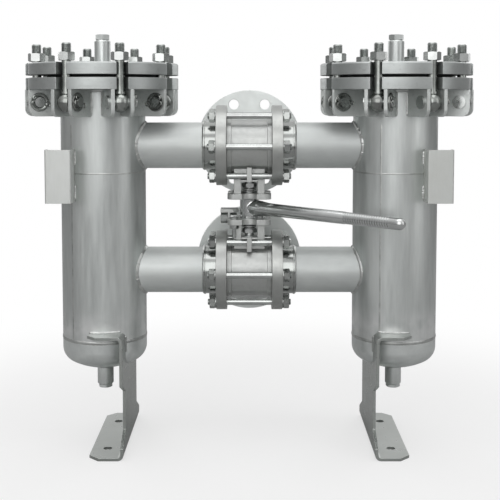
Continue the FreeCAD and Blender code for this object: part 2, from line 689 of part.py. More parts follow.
def at_valve(shape, name):
    # The upper valve hangs upside down, so that both stems meet at the lever
    centre, up = VALVES[name]
    if up < 0:
        shape = shape.mirror(V(0, 0, 0), V(0, 0, 1))
    return placed(shape, 0.0, 0.0, centre)


# Changeover lever
def lever_hub():
    low = LOWER_PAD_TOP_Z + HUB_CLEARANCE
    high = UPPER_PAD_BOTTOM_Z - HUB_CLEARANCE
    hub = cylinder_z(HUB_OD, low, high)
    lower_end = LOWER_PAD_TOP_Z + STEM_SLOT_DEPTH
    upper_end = UPPER_PAD_BOTTOM_Z - STEM_SLOT_DEPTH
    hub = hub.cut(cylinder_z(STEM_DIAMETER, low, lower_end))
    return hub.cut(cylinder_z(STEM_DIAMETER, upper_end, high))


def lever_handle():
    angle = math.radians(LEVER_ANGLE)
    way = V(math.cos(angle), math.sin(angle), 0)

    def at(distance):
        return V(0, 0, LEVER_Z) + way * distance

    start = HUB_OD / 2 - LEVER_ROOT_INSET
    root = Part.makeCone(LEVER_ROOT_OD / 2, LEVER_OD / 2, LEVER_ROOT_END - start, at(start), way)
    bar = Part.makeCone(LEVER_OD / 2, LEVER_TIP_OD / 2, GRIP_START - LEVER_ROOT_END, at(LEVER_ROOT_END), way)
    tip_r = LEVER_TIP_OD / 2
    grip = Part.makeCylinder(tip_r, LEVER_LENGTH - tip_r - GRIP_START, at(GRIP_START), way)
    end = Part.makeSphere(tip_r, at(LEVER_LENGTH - tip_r))
    handle = root.fuse([bar, grip, end])
    low = LOWER_PAD_TOP_Z + HUB_CLEARANCE
    high = UPPER_PAD_BOTTOM_Z - HUB_CLEARANCE
    return handle.cut(cylinder_z(HUB_OD, low, high)).removeSplitter()


# Lever stops, on top of the lower mounting pad
def stop_bracket():
    # The inner corner of the plate is cut along the handle's far end of travel
    low = STOP_PLATE_TOP_Z - STOP_PLATE_THICKNESS
    top = block(
        (-STOP_PLATE_OUTER_X, STOP_PLATE_FRONT_Y, low),
        (-STOP_PLATE_INNER_X, STOP_PLATE_REAR_Y, STOP_PLATE_TOP_Z),
    )
    web_x = -PAD_WIDTH / 2
    web = block(
        (web_x, STOP_PLATE_FRONT_Y, LOWER_PAD_TOP_Z),
        (web_x + STOP_WEB_THICKNESS, STOP_PLATE_REAR_Y, low),
    )
    web = web.cut(cylinder_x(STOP_BOLT_DIAMETER, web_x, 0, 0, STOP_BOLT_Z))
    far = math.radians(LEVER_ANGLE - LEVER_TRAVEL)
    way = V(math.cos(far), math.sin(far), 0)
    room = LEVER_ROOT_OD / 2 + STOP_HANDLE_GAP
    path = Part.makeCylinder(room, LEVER_LENGTH, V(0, 0, LEVER_Z), way)
    return top.fuse(web).cut(path).removeSplitter()


def stop_bolts():
    # A screw through the bracket, in the notch of the pad, and an upright pin
    web_x = -PAD_WIDTH / 2
    screw = cylinder_x(STOP_BOLT_DIAMETER, web_x, web_x + STOP_BOLT_END, 0, STOP_BOLT_Z)
    head = placed(prism_x(STOP_BOLT_AF, 6, -STOP_PLATE_OUTER_X, web_x), z=STOP_BOLT_Z)
    pin = cylinder_z(STOP_PIN_DIAMETER, LOWER_PAD_TOP_Z, LOWER_PAD_TOP_Z + STOP_PIN_REACH, STOP_PIN_X)
    return group([screw.fuse(head).removeSplitter(), pin])


# Leg: a C-shaped bent section, trimmed to its side outline and saddled to the vessel
def leg_section():
    x0 = LEG_INNER_X
    x1 = LEG_INNER_X + LEG_SHEET
    bend = LEG_BEND
    outer = LEG_BEND + LEG_SHEET
    dent = bend * (1 - math.sqrt(0.5))
    bulge = outer * (1 - math.sqrt(0.5))
    top = LEG_TOP_Z
    under = LEG_TOP_Z - LEG_SHEET
    y = LEG_FRONT_Y
    points = {
        "foot_end": V(FOOT_OUTER_X, y, 0),
        "foot_outer": V(x0 + outer, y, 0),
        "web_low": V(x0, y, outer),
        "web_high": V(x0, y, top - outer),
        "shelf_outer": V(x0 + outer, y, top),
        "shelf_end": V(SHELF_OUTER_X, y, top),
        "shelf_under": V(SHELF_OUTER_X, y, under),
        "shelf_inner": V(x1 + bend, y, under),
        "web_in_high": V(x1, y, under - bend),
        "web_in_low": V(x1, y, LEG_SHEET + bend),
        "foot_inner": V(x1 + bend, y, LEG_SHEET),
        "foot_top": V(FOOT_OUTER_X, y, LEG_SHEET),
    }
    p = points
    edges = [
        Part.makeLine(p["foot_end"], p["foot_outer"]),
        Part.Arc(p["foot_outer"], V(x0 + bulge, y, bulge), p["web_low"]).toShape(),
        Part.makeLine(p["web_low"], p["web_high"]),
        Part.Arc(p["web_high"], V(x0 + bulge, y, top - bulge), p["shelf_outer"]).toShape(),
        Part.makeLine(p["shelf_outer"], p["shelf_end"]),
        Part.makeLine(p["shelf_end"], p["shelf_under"]),
        Part.makeLine(p["shelf_under"], p["shelf_inner"]),
        Part.Arc(p["shelf_inner"], V(x1 + dent, y, under - dent), p["web_in_high"]).toShape(),
        Part.makeLine(p["web_in_high"], p["web_in_low"]),
        Part.Arc(p["web_in_low"], V(x1 + dent, y, LEG_SHEET + dent), p["foot_inner"]).toShape(),
        Part.makeLine(p["foot_inner"], p["foot_top"]),
        Part.makeLine(p["foot_top"], p["foot_end"]),
    ]
    return Part.Face(Part.Wire(edges))


def leg_outline():
    corners = [
        (LEG_FRONT_Y, LEG_TOP_Z),
        (LEG_FRONT_Y, LEG_STEP_TOP_Z),
        (LEG_STEP_Y, LEG_STEP_BOTTOM_Z),
        (LEG_STEP_Y, LEG_FLARE_Z),
        (FOOT_FRONT_Y, FOOT_SIDE_HEIGHT),
        (FOOT_FRONT_Y, 0.0),
        (FOOT_REAR_Y, 0.0),
        (FOOT_REAR_Y, FOOT_SIDE_HEIGHT),
        (LEG_REAR_Y, LEG_FLARE_Z),
        (LEG_REAR_Y, LEG_TOP_Z),
    ]
    face = face_of([V(0, y, z) for y, z in corners])
    return face.extrude(V(SHELF_OUTER_X + LEG_SHEET, 0, 0))


def corner_cut(x, y, size, low, high, way):
    # A chamfer at an outer corner of the foot or the shelf
    points = [V(x - size, y, low), V(x, y, low), V(x, y + way * size, low)]
    return face_of(points).extrude(V(0, 0, high - low))


def leg(sign):
    depth = max(FOOT_REAR_Y, LEG_REAR_Y) - LEG_FRONT_Y
    solid = leg_section().extrude(V(0, depth, 0)).common(leg_outline())
    solid = solid.cut(cylinder_z(SHELL_OD, SHELL_BOTTOM_Z, FLANGE_BOTTOM_Z, VESSEL_OFFSET))
    solid = solid.cut(placed(head_solid(SHELL_R, HEAD_KNUCKLE, HEAD_CROWN), VESSEL_OFFSET))
    for y, way in ((FOOT_FRONT_Y, 1), (FOOT_REAR_Y, -1)):
        solid = solid.cut(corner_cut(FOOT_OUTER_X, y, FOOT_CORNER, 0, LEG_SHEET, way))
    under = LEG_TOP_Z - LEG_SHEET
    for y, way in ((LEG_FRONT_Y, 1), (LEG_REAR_Y, -1)):
        solid = solid.cut(corner_cut(SHELF_OUTER_X, y, SHELF_CORNER, under, LEG_TOP_Z, way))
    for y in (FOOT_HOLE_FRONT_Y, FOOT_HOLE_REAR_Y):
        solid = solid.cut(cylinder_z(FOOT_HOLE, 0, LEG_SHEET, FOOT_HOLE_X, y))
    return side_of(solid, sign)


def name_bracket(sign):
    # A U-shaped sheet: the inner arm is welded to the vessel, the outer arm is short
    front = BRACKET_FRONT_Y
    t = BRACKET_SHEET
    low = BRACKET_BOTTOM_Z
    high = low + BRACKET_HEIGHT
    inner = VESSEL_OFFSET + BRACKET_INNER
    outer = VESSEL_OFFSET + BRACKET_OUTER
    sheet = block((inner, front, low), (outer, 0, high))
    sheet = sheet.cut(block((inner + t, front + t, low), (outer - t, 0, high)))
    sheet = sheet.cut(block((outer - t, front + BRACKET_RETURN, low), (outer, 0, high)))
    folds = []
    for edge in sheet.Edges:
        middle = edge.CenterOfMass
        upright = abs(edge.tangentAt(edge.FirstParameter).z) > 0.5
        if upright and abs(middle.y - front) < 0.01:
            folds.append(edge)
    sheet = sheet.makeFillet(BRACKET_CORNER / 2, folds)
    sheet = sheet.cut(cylinder_z(SHELL_OD, low, high, VESSEL_OFFSET))
    return side_of(max(sheet.Solids, key=lambda solid: solid.Volume), sign)


def build():
    nodes = {}
    for side, sign in SIDES.items():
        nodes[side + "_shell"] = vessel_shell(sign)
        nodes[side + "_head"] = vessel_head(sign)
        nodes[side + "_vessel_flange"] = vessel_flange(sign)
        nodes[side + "_gasket"] = gasket(sign)
        nodes[side + "_cover"] = cover(sign)
        nodes[side + "_vent_nipple"] = vent_nipple(sign)
        nodes[side + "_basket"] = basket(sign)
        nodes[side + "_hinge_lugs"] = hinge_lugs(sign)
        nodes[side + "_hinge_pins"] = hinge_pins(sign)
        nodes[side + "_leg"] = leg(sign)
        nodes[side + "_name_bracket"] = name_bracket(sign)
        for number, angle in enumerate(bolt_angles(), 1):
            nodes["%s_swing_bolt_%d" % (side, number)] = swing_bolt(sign, angle)
    for name, (centre, _) in VALVES.items():
        nodes[name + "_branch_pipes"] = branch_pipes(centre)
        nodes[name + "_valve_body"] = at_valve(valve_body(), name)
        nodes[name + "_end_plates"] = at_valve(end_plates(), name)
        nodes[name + "_tie_rods"] = at_valve(group(tie_rods() + tie_nuts()), name)
        nodes[name + "_ball_seats"] = at_valve(ball_seats(), name)
        nodes[name + "_ball"] = at_valve(ball(), name)
        nodes[name + "_stem"] = at_valve(stem_set(), name)
        nodes[name + "_port"] = at_valve(port(), name)
    nodes["lever_hub"] = lever_hub()
    nodes["lever_handle"] = lever_handle()
    nodes["stop_bracket"] = stop_bracket()
    nodes["stop_bolts"] = stop_bolts()
    return nodes


def main():
    os.makedirs("parts", exist_ok=True)
    foot_centre = (FOOT_HOLE_FRONT_Y + FOOT_HOLE_REAR_Y) / 2
    for name, shape in build().items():
        shape.translate(V(0, -foot_centre, 0))
        shape.exportStep("parts/%s.step" % name)


main()
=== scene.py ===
import json
import math
import random
import bpy
import bmesh
from mathutils import Matrix, Vector

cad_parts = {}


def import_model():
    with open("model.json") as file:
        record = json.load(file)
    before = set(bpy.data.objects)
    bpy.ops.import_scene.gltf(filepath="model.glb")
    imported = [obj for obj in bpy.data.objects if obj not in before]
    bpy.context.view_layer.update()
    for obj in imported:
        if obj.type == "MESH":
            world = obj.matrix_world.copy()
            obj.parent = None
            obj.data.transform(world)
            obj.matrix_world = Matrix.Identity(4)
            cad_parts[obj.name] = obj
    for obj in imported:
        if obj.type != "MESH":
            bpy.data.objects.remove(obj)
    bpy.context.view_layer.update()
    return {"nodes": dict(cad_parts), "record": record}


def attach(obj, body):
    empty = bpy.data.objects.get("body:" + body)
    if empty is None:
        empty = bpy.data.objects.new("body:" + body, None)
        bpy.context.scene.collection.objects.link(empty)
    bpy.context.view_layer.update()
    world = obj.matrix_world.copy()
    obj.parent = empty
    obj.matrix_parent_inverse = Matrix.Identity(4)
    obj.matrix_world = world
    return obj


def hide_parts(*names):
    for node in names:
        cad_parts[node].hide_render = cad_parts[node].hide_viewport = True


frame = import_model()

# Lengths of the pieces are millimetres in the row frame. The weld haze and the stage are in metres.
# Angles are degrees.
MM = 0.001
AXIS_Y = -19.5
VESSEL_X = 243.0
SHELL_R = 69.85
BRANCH_R = 38.05
BRANCH_Z = {"upper": 503.0, "lower": 294.5}
SIGN = {"left": -1, "right": 1}
SHARP_ANGLE = 38.0
NUT_CORNER_ANGLE = 28.0

# Stainless steel is very slightly cool in tone
COOL = (0.99, 1.012, 1.022)

# Chance in the weld ripples and in how the nuts and split pins are turned
rng = random.Random(7)


# Shader nodes

def socket(node, name, value):
    node.inputs[name].default_value = value


def feed(tree, value, target):
    """Sets a constant on a socket, or links another node's output to it."""
    if isinstance(value, (int, float, tuple)):
        target.default_value = value
    else:
        tree.links.new(value, target)


def noise(tree, vector, scale, detail, roughness=0.5):
    node = tree.nodes.new("ShaderNodeTexNoise")
    socket(node, "Scale", scale)
    socket(node, "Detail", detail)
    socket(node, "Roughness", roughness)
    tree.links.new(vector, node.inputs["Vector"])
    return node.outputs["Fac"]


def stretched(tree, vector, scale):
    node = tree.nodes.new("ShaderNodeMapping")
    socket(node, "Scale", scale)
    tree.links.new(vector, node.inputs["Vector"])
    return node.outputs["Vector"]


def remap(tree, value, source, target=(0.0, 1.0), kind="LINEAR"):
    node = tree.nodes.new("ShaderNodeMapRange")
    node.interpolation_type = kind
    socket(node, "From Min", source[0])
    socket(node, "From Max", source[1])
    socket(node, "To Min", target[0])
    socket(node, "To Max", target[1])
    tree.links.new(value, node.inputs["Value"])
    return node.outputs["Result"]


def calculate(tree, operation, *values):
    node = tree.nodes.new("ShaderNodeMath")
    node.operation = operation
    for value, target in zip(values, node.inputs):
        feed(tree, value, target)
    return node.outputs["Value"]


def blend(tree, factor, first, second):
    """The first colour where factor is 0, the second where it is 1."""
    node = tree.nodes.new("ShaderNodeMix")
    node.data_type = "RGBA"
    tree.links.new(factor, node.inputs["Factor"])
    feed(tree, first, node.inputs[6])
    feed(tree, second, node.inputs[7])
    return node.outputs[2]


def colour_ramp(tree, value, stops, interpolation="LINEAR"):
    """Goes through (position, colour) stops."""
    node = tree.nodes.new("ShaderNodeValToRGB")
    ramp = node.color_ramp
    ramp.interpolation = interpolation
    ramp.elements[0].position = stops[0][0]
    ramp.elements[1].position = stops[-1][0]
    for position, _ in stops[1:-1]:
        ramp.elements.new(position)
    for element, (_, colour) in zip(ramp.elements, stops):
        element.color = (*colour, 1)
    tree.links.new(value, node.inputs["Fac"])
    return node.outputs["Color"]


def split_xyz(tree, vector):
    node = tree.nodes.new("ShaderNodeSeparateXYZ")
    tree.links.new(vector, node.inputs["Vector"])
    return node.outputs


# Finishes

def dark_specks(tree, place, colour, dark, mottle, amount):
    """Small dark pits, finer than the mottling."""
    spots = noise(tree, place, scale=14 * mottle, detail=2.0)
    strength = remap(tree, spots, (0.6, 0.75), (0.0, amount))
    return blend(tree, strength, colour, (*[0.45 * c for c in dark], 1))


def pale_weld_band(tree, place, colour, light, height, half, amount):
    """Pale patches in a band around a height in metres, beside a weld."""
    above = calculate(tree, "SUBTRACT", split_xyz(tree, place)["Z"], height)
    near = remap(tree, calculate(tree, "ABSOLUTE", above), (half, 0.0), (0.0, amount), "SMOOTHSTEP")
    patches = remap(tree, noise(tree, place, scale=26.0, detail=3.0), (0.35, 0.6))
    strength = calculate(tree, "MULTIPLY", near, patches)
    return blend(tree, strength, colour, (*[min(0.9, 1.35 * c) for c in light], 1))


def surface(name, dark, light, rough, mottle=9.0, spread=(1.0, 1.0, 1.0), grain=(40.0, 40.0, 6.0),
            grain_depth=0.05, bump=0.25, metallic=1.0, speck=0.0, haze=None):
    """A material whose tint, gloss and fine relief vary over the surface."""
    dark, light = [tuple(c * t for c, t in zip(tone, COOL)) for tone in (dark, light)]
    mat = bpy.data.materials.new(name)
    mat.use_nodes = True
    tree = mat.node_tree
    bsdf = tree.nodes["Principled BSDF"]
    socket(bsdf, "Metallic", metallic)
    place = tree.nodes.new("ShaderNodeTexCoord").outputs["Object"]
    cloud = noise(tree, stretched(tree, place, spread), scale=mottle, detail=5.0, roughness=0.6)
    colour = colour_ramp(tree, cloud, [(0.32, dark), (0.68, light)])
    if speck:
        colour = dark_specks(tree, place, colour, dark, mottle, speck)
    if haze:
        colour = pale_weld_band(tree, place, colour, light, *haze)
    tree.links.new(colour, bsdf.inputs["Base Color"])
    brush = noise(tree, stretched(tree, place, grain), scale=12.0, detail=4.0, roughness=0.55)
    tree.links.new(remap(tree, brush, (0.3, 0.7), rough), bsdf.inputs["Roughness"])
    relief = tree.nodes.new("ShaderNodeBump")
    socket(relief, "Strength", bump)
    socket(relief, "Distance", grain_depth * MM)
    tree.links.new(brush, relief.inputs["Height"])
    tree.links.new(relief.outputs["Normal"], bsdf.inputs["Normal"])
    return mat


FINISHES = {
    # The vessel's colour is streaked up and down: partly its brushing grain, partly a painted sheen of the
    # brushed finish.
    "vessel_steel": dict(dark=(0.44, 0.45, 0.44), light=(0.73, 0.74, 0.72), rough=(0.30, 0.44),
                         mottle=24.0, spread=(1.0, 1.0, 0.12), grain=(16.0, 16.0, 1.2),
                         grain_depth=0.10, metallic=0.88, haze=(0.205, 0.04, 0.6)),
    "pressed_steel": dict(dark=(0.60, 0.61, 0.60), light=(0.76, 0.77, 0.75), rough=(0.32, 0.44),
                          mottle=26.0, grain=(16.0, 16.0, 4.0), grain_depth=0.08, metallic=0.86),
    "pipe_steel": dict(dark=(0.55, 0.56, 0.55), light=(0.70, 0.71, 0.69), rough=(0.46, 0.58),
                       mottle=14.0, spread=(0.5, 1.0, 1.0), grain=(1.2, 16.0, 16.0),
                       grain_depth=0.08, metallic=0.55),
    "turned_flange": dict(dark=(0.41, 0.42, 0.41), light=(0.52, 0.53, 0.52), rough=(0.32, 0.46),
                          mottle=11.0, grain=(3.0, 3.0, 60.0), grain_depth=0.12, metallic=0.9,
                          speck=0.2),
    "port_steel": dict(dark=(0.67, 0.68, 0.66), light=(0.77, 0.78, 0.76), rough=(0.40, 0.52),
                       mottle=8.0, grain=(6.0, 40.0, 6.0), grain_depth=0.08, metallic=0.85),
    "bolt_steel": dict(dark=(0.44, 0.44, 0.43), light=(0.58, 0.59, 0.57), rough=(0.15, 0.26),
                       mottle=30.0, grain=(20.0, 20.0, 20.0), grain_depth=0.04),
    "bolt_thread": dict(dark=(0.32, 0.33, 0.32), light=(0.44, 0.45, 0.43), rough=(0.26, 0.38),
                        mottle=30.0, grain=(20.0, 20.0, 20.0), grain_depth=0.03),
    "bolt_forged": dict(dark=(0.22, 0.22, 0.21), light=(0.36, 0.37, 0.35), rough=(0.17, 0.27),
                        mottle=40.0, grain=(20.0, 20.0, 8.0), grain_depth=0.06),
    "leg_sheet": dict(dark=(0.38, 0.39, 0.37), light=(0.47, 0.48, 0.46), rough=(0.26, 0.37),
                      mottle=6.0, grain=(4.0, 4.0, 30.0), metallic=0.9),
    "bracket_sheet": dict(dark=(0.60, 0.60, 0.57), light=(0.67, 0.67, 0.65), rough=(0.45, 0.58),
                          mottle=10.0, grain=(20.0, 20.0, 3.0), metallic=0.85),
    "valve_casting": dict(dark=(0.45, 0.45, 0.44), light=(0.55, 0.55, 0.53), rough=(0.38, 0.52),
                          mottle=14.0, grain=(14.0, 14.0, 14.0), grain_depth=0.22, bump=0.4,
                          metallic=0.88, speck=0.15),
    "end_plate": dict(dark=(0.36, 0.36, 0.35), light=(0.47, 0.47, 0.45), rough=(0.32, 0.44),
                      mottle=14.0, grain=(14.0, 14.0, 14.0), grain_depth=0.15, metallic=0.9,
                      speck=0.15),
    "rod_nut": dict(dark=(0.32, 0.32, 0.31), light=(0.46, 0.47, 0.45), rough=(0.18, 0.28),
                    mottle=30.0, grain=(20.0, 20.0, 20.0), grain_depth=0.04),
    "valve_turned": dict(dark=(0.34, 0.34, 0.33), light=(0.44, 0.45, 0.43), rough=(0.14, 0.22),
                         mottle=14.0, grain=(60.0, 3.0, 3.0), grain_depth=0.04),
    "lever_steel": dict(dark=(0.52, 0.52, 0.51), light=(0.66, 0.66, 0.65), rough=(0.14, 0.22),
                        mottle=16.0, grain=(12.0, 12.0, 12.0), grain_depth=0.1),
    "lug_steel": dict(dark=(0.56, 0.57, 0.55), light=(0.72, 0.73, 0.71), rough=(0.34, 0.47),
                      mottle=16.0, grain=(20.0, 20.0, 6.0), grain_depth=0.08, metallic=0.62,
                      speck=0.3),
    "basket_steel": dict(dark=(0.55, 0.55, 0.55), light=(0.66, 0.66, 0.66), rough=(0.30, 0.42)),
    "polished_ball": dict(dark=(0.74, 0.75, 0.75), light=(0.80, 0.81, 0.81), rough=(0.06, 0.12)),
    "gasket_fibre": dict(dark=(0.04, 0.04, 0.04), light=(0.07, 0.07, 0.07), rough=(0.7, 0.9),
                         mottle=40.0, metallic=0.0),
    "seat_ptfe": dict(dark=(0.78, 0.78, 0.76), light=(0.86, 0.86, 0.84), rough=(0.4, 0.55),
                      metallic=0.0),
    "weld_bead": dict(dark=(0.42, 0.42, 0.41), light=(0.60, 0.60, 0.58), rough=(0.30, 0.44),
                      mottle=60.0, grain=(30.0, 30.0, 30.0), grain_depth=0.15, bump=0.5),
}
MATS = {name: surface(name, **finish) for name, finish in FINISHES.items()}
SLOT_OF = {entry["node"]: entry["material_slot"] for entry in frame["record"]["subparts"]}
FINISH_OF = dict(SLOT_OF, upper_branch_pipes="pipe_steel", lower_branch_pipes="pipe_steel",
                 upper_end_plates="end_plate", lower_end_plates="end_plate")
for name, node in frame["nodes"].items():
    node.data.materials.clear()
    node.data.materials.append(MATS[FINISH_OF[name]])


# Meshes

def move(x=0.0, y=0.0, z=0.0):
    return Matrix.Translation((x, y, z))


def turn(axis, degrees):
    return Matrix.Rotation(math.radians(degrees), 4, axis)


def vessel_place(side):
    return move(SIGN[side] * VESSEL_X, AXIS_Y, 0)


ALONG_X = turn("Y", 90)
AGAINST_X = turn("Y", -90)
ALONG_Y = turn("X", -90)


def arc(cx, cy, r, start, end, steps):
    """Points (radius, height) of an arc, with angles from the radial direction."""
    points = []
    for i in range(steps + 1):
        a = math.radians(start + (end - start) * i / steps)
        points.append((cx + r * math.cos(a), cy + r * math.sin(a)))
    return points


def bridge(rings):
    """Faces between neighbouring rings with equally many points."""
    faces = []
    for lower, upper in zip(rings, rings[1:]):
        count = len(lower)
        for i in range(count):
            j = (i + 1) % count
            faces.append((lower[i], lower[j], upper[j], upper[i]))
    return faces


def smooth_faces(mesh):
    for face in mesh.polygons:
        face.use_smooth = True


def piece(name, verts, faces, body, slot, material=None, hides=()):
    """A mesh from points in millimetres, riding on a body and standing for the nodes that it hides."""
    mesh = bpy.data.meshes.new(name)
    mesh.from_pydata([tuple(c * MM for c in v) for v in verts], [], faces)
    mesh.validate()
    mesh.update()
    mesh.materials.append(MATS[material or slot])
    smooth_faces(mesh)
    mesh.set_sharp_from_angle(angle=math.radians(SHARP_ANGLE))
    obj = bpy.data.objects.new(name, mesh)
    bpy.context.scene.collection.objects.link(obj)
    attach(obj, body)
    for node in hides:
        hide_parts(node)


# Half width of each kind of weld bead, its height as a share of that, its ripple and the ripple's pitch
WELD = {
    "lever": (1.9, 0.6, 0.08, 2.5),
    "head": (2.7, 0.24, 0.08, 3.4),
    "seat_ring": (1.2, 0.10, 0.08, 3.4),
    "seam": (1.5, 0.12, 0.05, 4.0),
    "flange": (3.2, 0.75, 0.10, 3.2),
    "drain": (2.2, 0.8, 0.10, 2.6),
    "vent": (1.6, 0.7, 0.08, 2.4),
    "branch": (3.4, 0.72, 0.11, 3.2),
    "shelf": (1.9, 0.5, 0.14, 2.8),
    "web": (1.9, 0.7, 0.12, 2.8),
    "bracket": (2.0, 0.75, 0.14, 3.0),
    "lug": (2.0, 0.75, 0.12, 3.0),
    "stub": (2.4, 0.45, 0.10, 3.0),
    "port_pipe": (2.4, 0.5, 0.10, 3.0),
    "port_flange": (2.8, 0.7, 0.10, 3.0),
}


class Form:
    """Collects several simple closed forms into one mesh."""

    def __init__(self):
        self.verts = []
        self.faces = []

    def add(self, verts, faces, matrix=None):
        base = len(self.verts)
        for v in verts:
            self.verts.append(tuple(matrix @ Vector(v)) if matrix is not None else tuple(v))
        for f in faces:
            self.faces.append(tuple(i + base for i in f))

    def lathe(self, profile, steps, matrix):
        """Turns (radius, height) points about Z. They start and end on the axis, or at the same point."""
        verts, faces, rings = [], [], []
        for r, h in profile:
            count = 1 if r <= 1e-6 else steps
            rings.append(list(range(len(verts), len(verts) + count)))
            for i in range(count):
                a = 2 * math.pi * i / steps
                verts.append((r * math.cos(a), r * math.sin(a), h))
        for lower, upper in zip(rings, rings[1:]):
            for i in range(steps):
                j = (i + 1) % steps
                if len(lower) == 1:
                    faces.append((lower[0], upper[j], upper[i]))
                elif len(upper) == 1:
                    faces.append((lower[i], lower[j], upper[0]))
                else:
                    faces.append((lower[i], lower[j], upper[j], upper[i]))
        self.add(verts, faces, matrix)

    def solid(self, points, steps, matrix):
        """Turns (radius, height) points to a form with flat ends."""
        self.lathe([(0, points[0][1]), *points, (0, points[-1][1])], steps, matrix)

    def hollow(self, points, steps, matrix):
        """Turns (radius, height) points to a ring."""
        self.lathe([*points, points[0]], steps, matrix)

    def nut(self, across, low, high, bore, matrix):
        """A hexagon nut with its corners turned off and its bore countersunk. A bore of 0 makes a head."""
        half = across / 2
        flat = 0.97 * half
        steps = 36
        slope = math.tan(math.radians(NUT_CORNER_ANGLE))
        sink = 1.0
        verts, rings = [], []

        def round_ring(radius, z):
            rings.append(list(range(len(verts), len(verts) + steps)))
            for i in range(steps):
                a = 2 * math.pi * i / steps
                verts.append((radius * math.cos(a), radius * math.sin(a), z))

        def hexagon_ring(level, inward):
            rings.append(list(range(len(verts), len(verts) + steps)))
            for i in range(steps):
                a = 2 * math.pi * i / steps
                r = half / math.cos((a + math.pi / 6) % (math.pi / 3) - math.pi / 6)
                verts.append((r * math.cos(a), r * math.sin(a), level + inward * (r - flat) * slope))

        if bore:
            round_ring(bore, low + sink)
            round_ring(bore + sink, low)
        round_ring(flat, low)
        hexagon_ring(low, 1)
        hexagon_ring(high, -1)
        round_ring(flat, high)
        if bore:
            round_ring(bore + sink, high)
            round_ring(bore, high - sink)
            rings.append(rings[0])
        faces = bridge(rings)
        if not bore:
            faces.append(tuple(reversed(rings[0])))
            faces.append(tuple(rings[-1]))
        self.add(verts, faces, matrix)

    def thread(self, diameter, low, high, pitch, matrix, around=20, per_pitch=5):
        """A screw thread with a bevelled end, closed at both ends."""
        depth = 0.54 * pitch
        major = diameter / 2
        rows = max(2, int((high - low) / pitch * per_pitch))
        verts = []
        for j in range(rows + 1):
            z = low + (high - low) * j / rows
            end_radius = major - max(0.0, z - (high - pitch)) * 0.9
            for i in range(around):
                phase = (z / pitch - i / around) % 1.0
                wave = abs(2 * phase - 1)
                groove = depth * min(1.0, max(0.0, 1.25 * wave - 0.1))
                r = min(major - groove, end_radius)
                a = 2 * math.pi * i / around
                verts.append((r * math.cos(a), r * math.sin(a), z))
        rings = [list(range(j * around, (j + 1) * around)) for j in range(rows + 1)]
        faces = bridge(rings)
        faces.append(tuple(reversed(rings[0])))
        faces.append(tuple(rings[-1]))
        self.add(verts, faces, matrix)

    def bead(self, path, outward, radius, flatten, ripple, pitch=3.0, closed=False, sides=8, ends=0.35):
        """A bead or wire along a path, rippled like a hand-laid weld, whose height points outward."""
        n = len(path)
        verts = []
        length = 0.0
        for i in range(n):
            here = Vector(path[i])
            ahead = Vector(path[(i + 1) % n] if closed else path[min(i + 1, n - 1)])
            behind = Vector(path[i - 1] if closed else path[max(i - 1, 0)])
            along = (ahead - behind).normalized()
            side = along.cross(Vector(outward[i]).normalized()).normalized()
            out = side.cross(along).normalized()
            wave = ripple * math.sin(2 * math.pi * length / pitch)
            swell = 1 + wave + rng.uniform(-ripple, ripple) * 0.8
            if not closed and i in (0, n - 1):
                swell *= ends
            for k in range(sides):
                a = 2 * math.pi * k / sides
                wide = side * (radius * swell * math.cos(a))
                high = out * (radius * flatten * swell * math.sin(a))
                verts.append(here + wide + high)
            length += (ahead - here).length
        rings = [list(range(i * sides, (i + 1) * sides)) for i in range(n)]
        if closed:
            self.add(verts, bridge(rings + rings[:1]))
        else:
            caps = [tuple(reversed(rings[0])), tuple(rings[-1])]
            self.add(verts, bridge(rings) + caps)

    def done(self, name, body, slot, **options):
        piece(name, self.verts, self.faces, body, slot, **options)


def softened(node, width, body="frame"):
    """Stands for a sheet, plate or casting and slightly rounds its edges, as broken edges are."""
    work = bmesh.new()
    work.from_mesh(frame["nodes"][node].data)
    bmesh.ops.remove_doubles(work, verts=work.verts, dist=2e-6)
    bmesh.ops.dissolve_limit(work, angle_limit=math.radians(0.5), verts=work.verts, edges=work.edges)
    mesh = bpy.data.meshes.new(node + "_soft")
    work.to_mesh(mesh)
    work.free()
    mesh.materials.append(MATS[FINISH_OF[node]])
    smooth_faces(mesh)
    obj = bpy.data.objects.new(node + "_soft", mesh)
    bpy.context.scene.collection.objects.link(obj)
    bevel = obj.modifiers.new("edges", "BEVEL")
    bevel.width = width * MM
    bevel.segments = 2
    bevel.limit_method = "ANGLE"
    bevel.angle_limit = math.radians(32)
    bevel.use_clamp_overlap = False
    even = obj.modifiers.new("flat_faces", "WEIGHTED_NORMAL")
    even.weight = 100
    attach(obj, body)
    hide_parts(node)


# Widths of the broken edges
EDGES_BY_SIDE = {"cover": 0.7, "vessel_flange": 0.9, "leg": 0.5, "name_bracket": 0.35, "hinge_lugs": 0.7}
EDGES_BY_VALVE = {"end_plates": 0.8, "valve_body": 0.6, "port": 0.8}
for side in SIGN:
    for part, width in EDGES_BY_SIDE.items():
        softened(side + "_" + part, width)
for valve in BRANCH_Z:
    for part, width in EDGES_BY_VALVE.items():
        softened(valve + "_" + part, width)
softened("stop_bracket", 0.5)


# Swing bolts

BOLTS = range(1, 9)
BOLT_CIRCLE_R = 108.5
PIN_Z = 575.0
EYE_R = 16.0
EYE_BORE_R = 8.25
EYE_FACE_R = 9.2
EYE_HALF_WIDTH = 9.0
EYE_SINK = 1.0
EYE_FACE_ANGLE = 34.2
SHANK_R = 7.35
# Radius of the shank at heights above the pin, where it grows out of the forged eye
SHANK_ROOT = [(8.8, 12.5), (9.0, 15.0), (8.1, 18.0), (7.45, 22.0), (SHANK_R, 26.0)]
NUT_LOW = 639.9
SWING_NUT = dict(across=24.0, low=NUT_LOW, high=653.5, bore=7.2)
SHANK_TOP = NUT_LOW + 3.0
STUD_LOW = NUT_LOW + 1.0
STUD_TOP = 667.5
STUD_D = 16.0
STUD_PITCH = 2.0


def bolt_angle(number):
    return 22.5 + 45 * (number - 1)


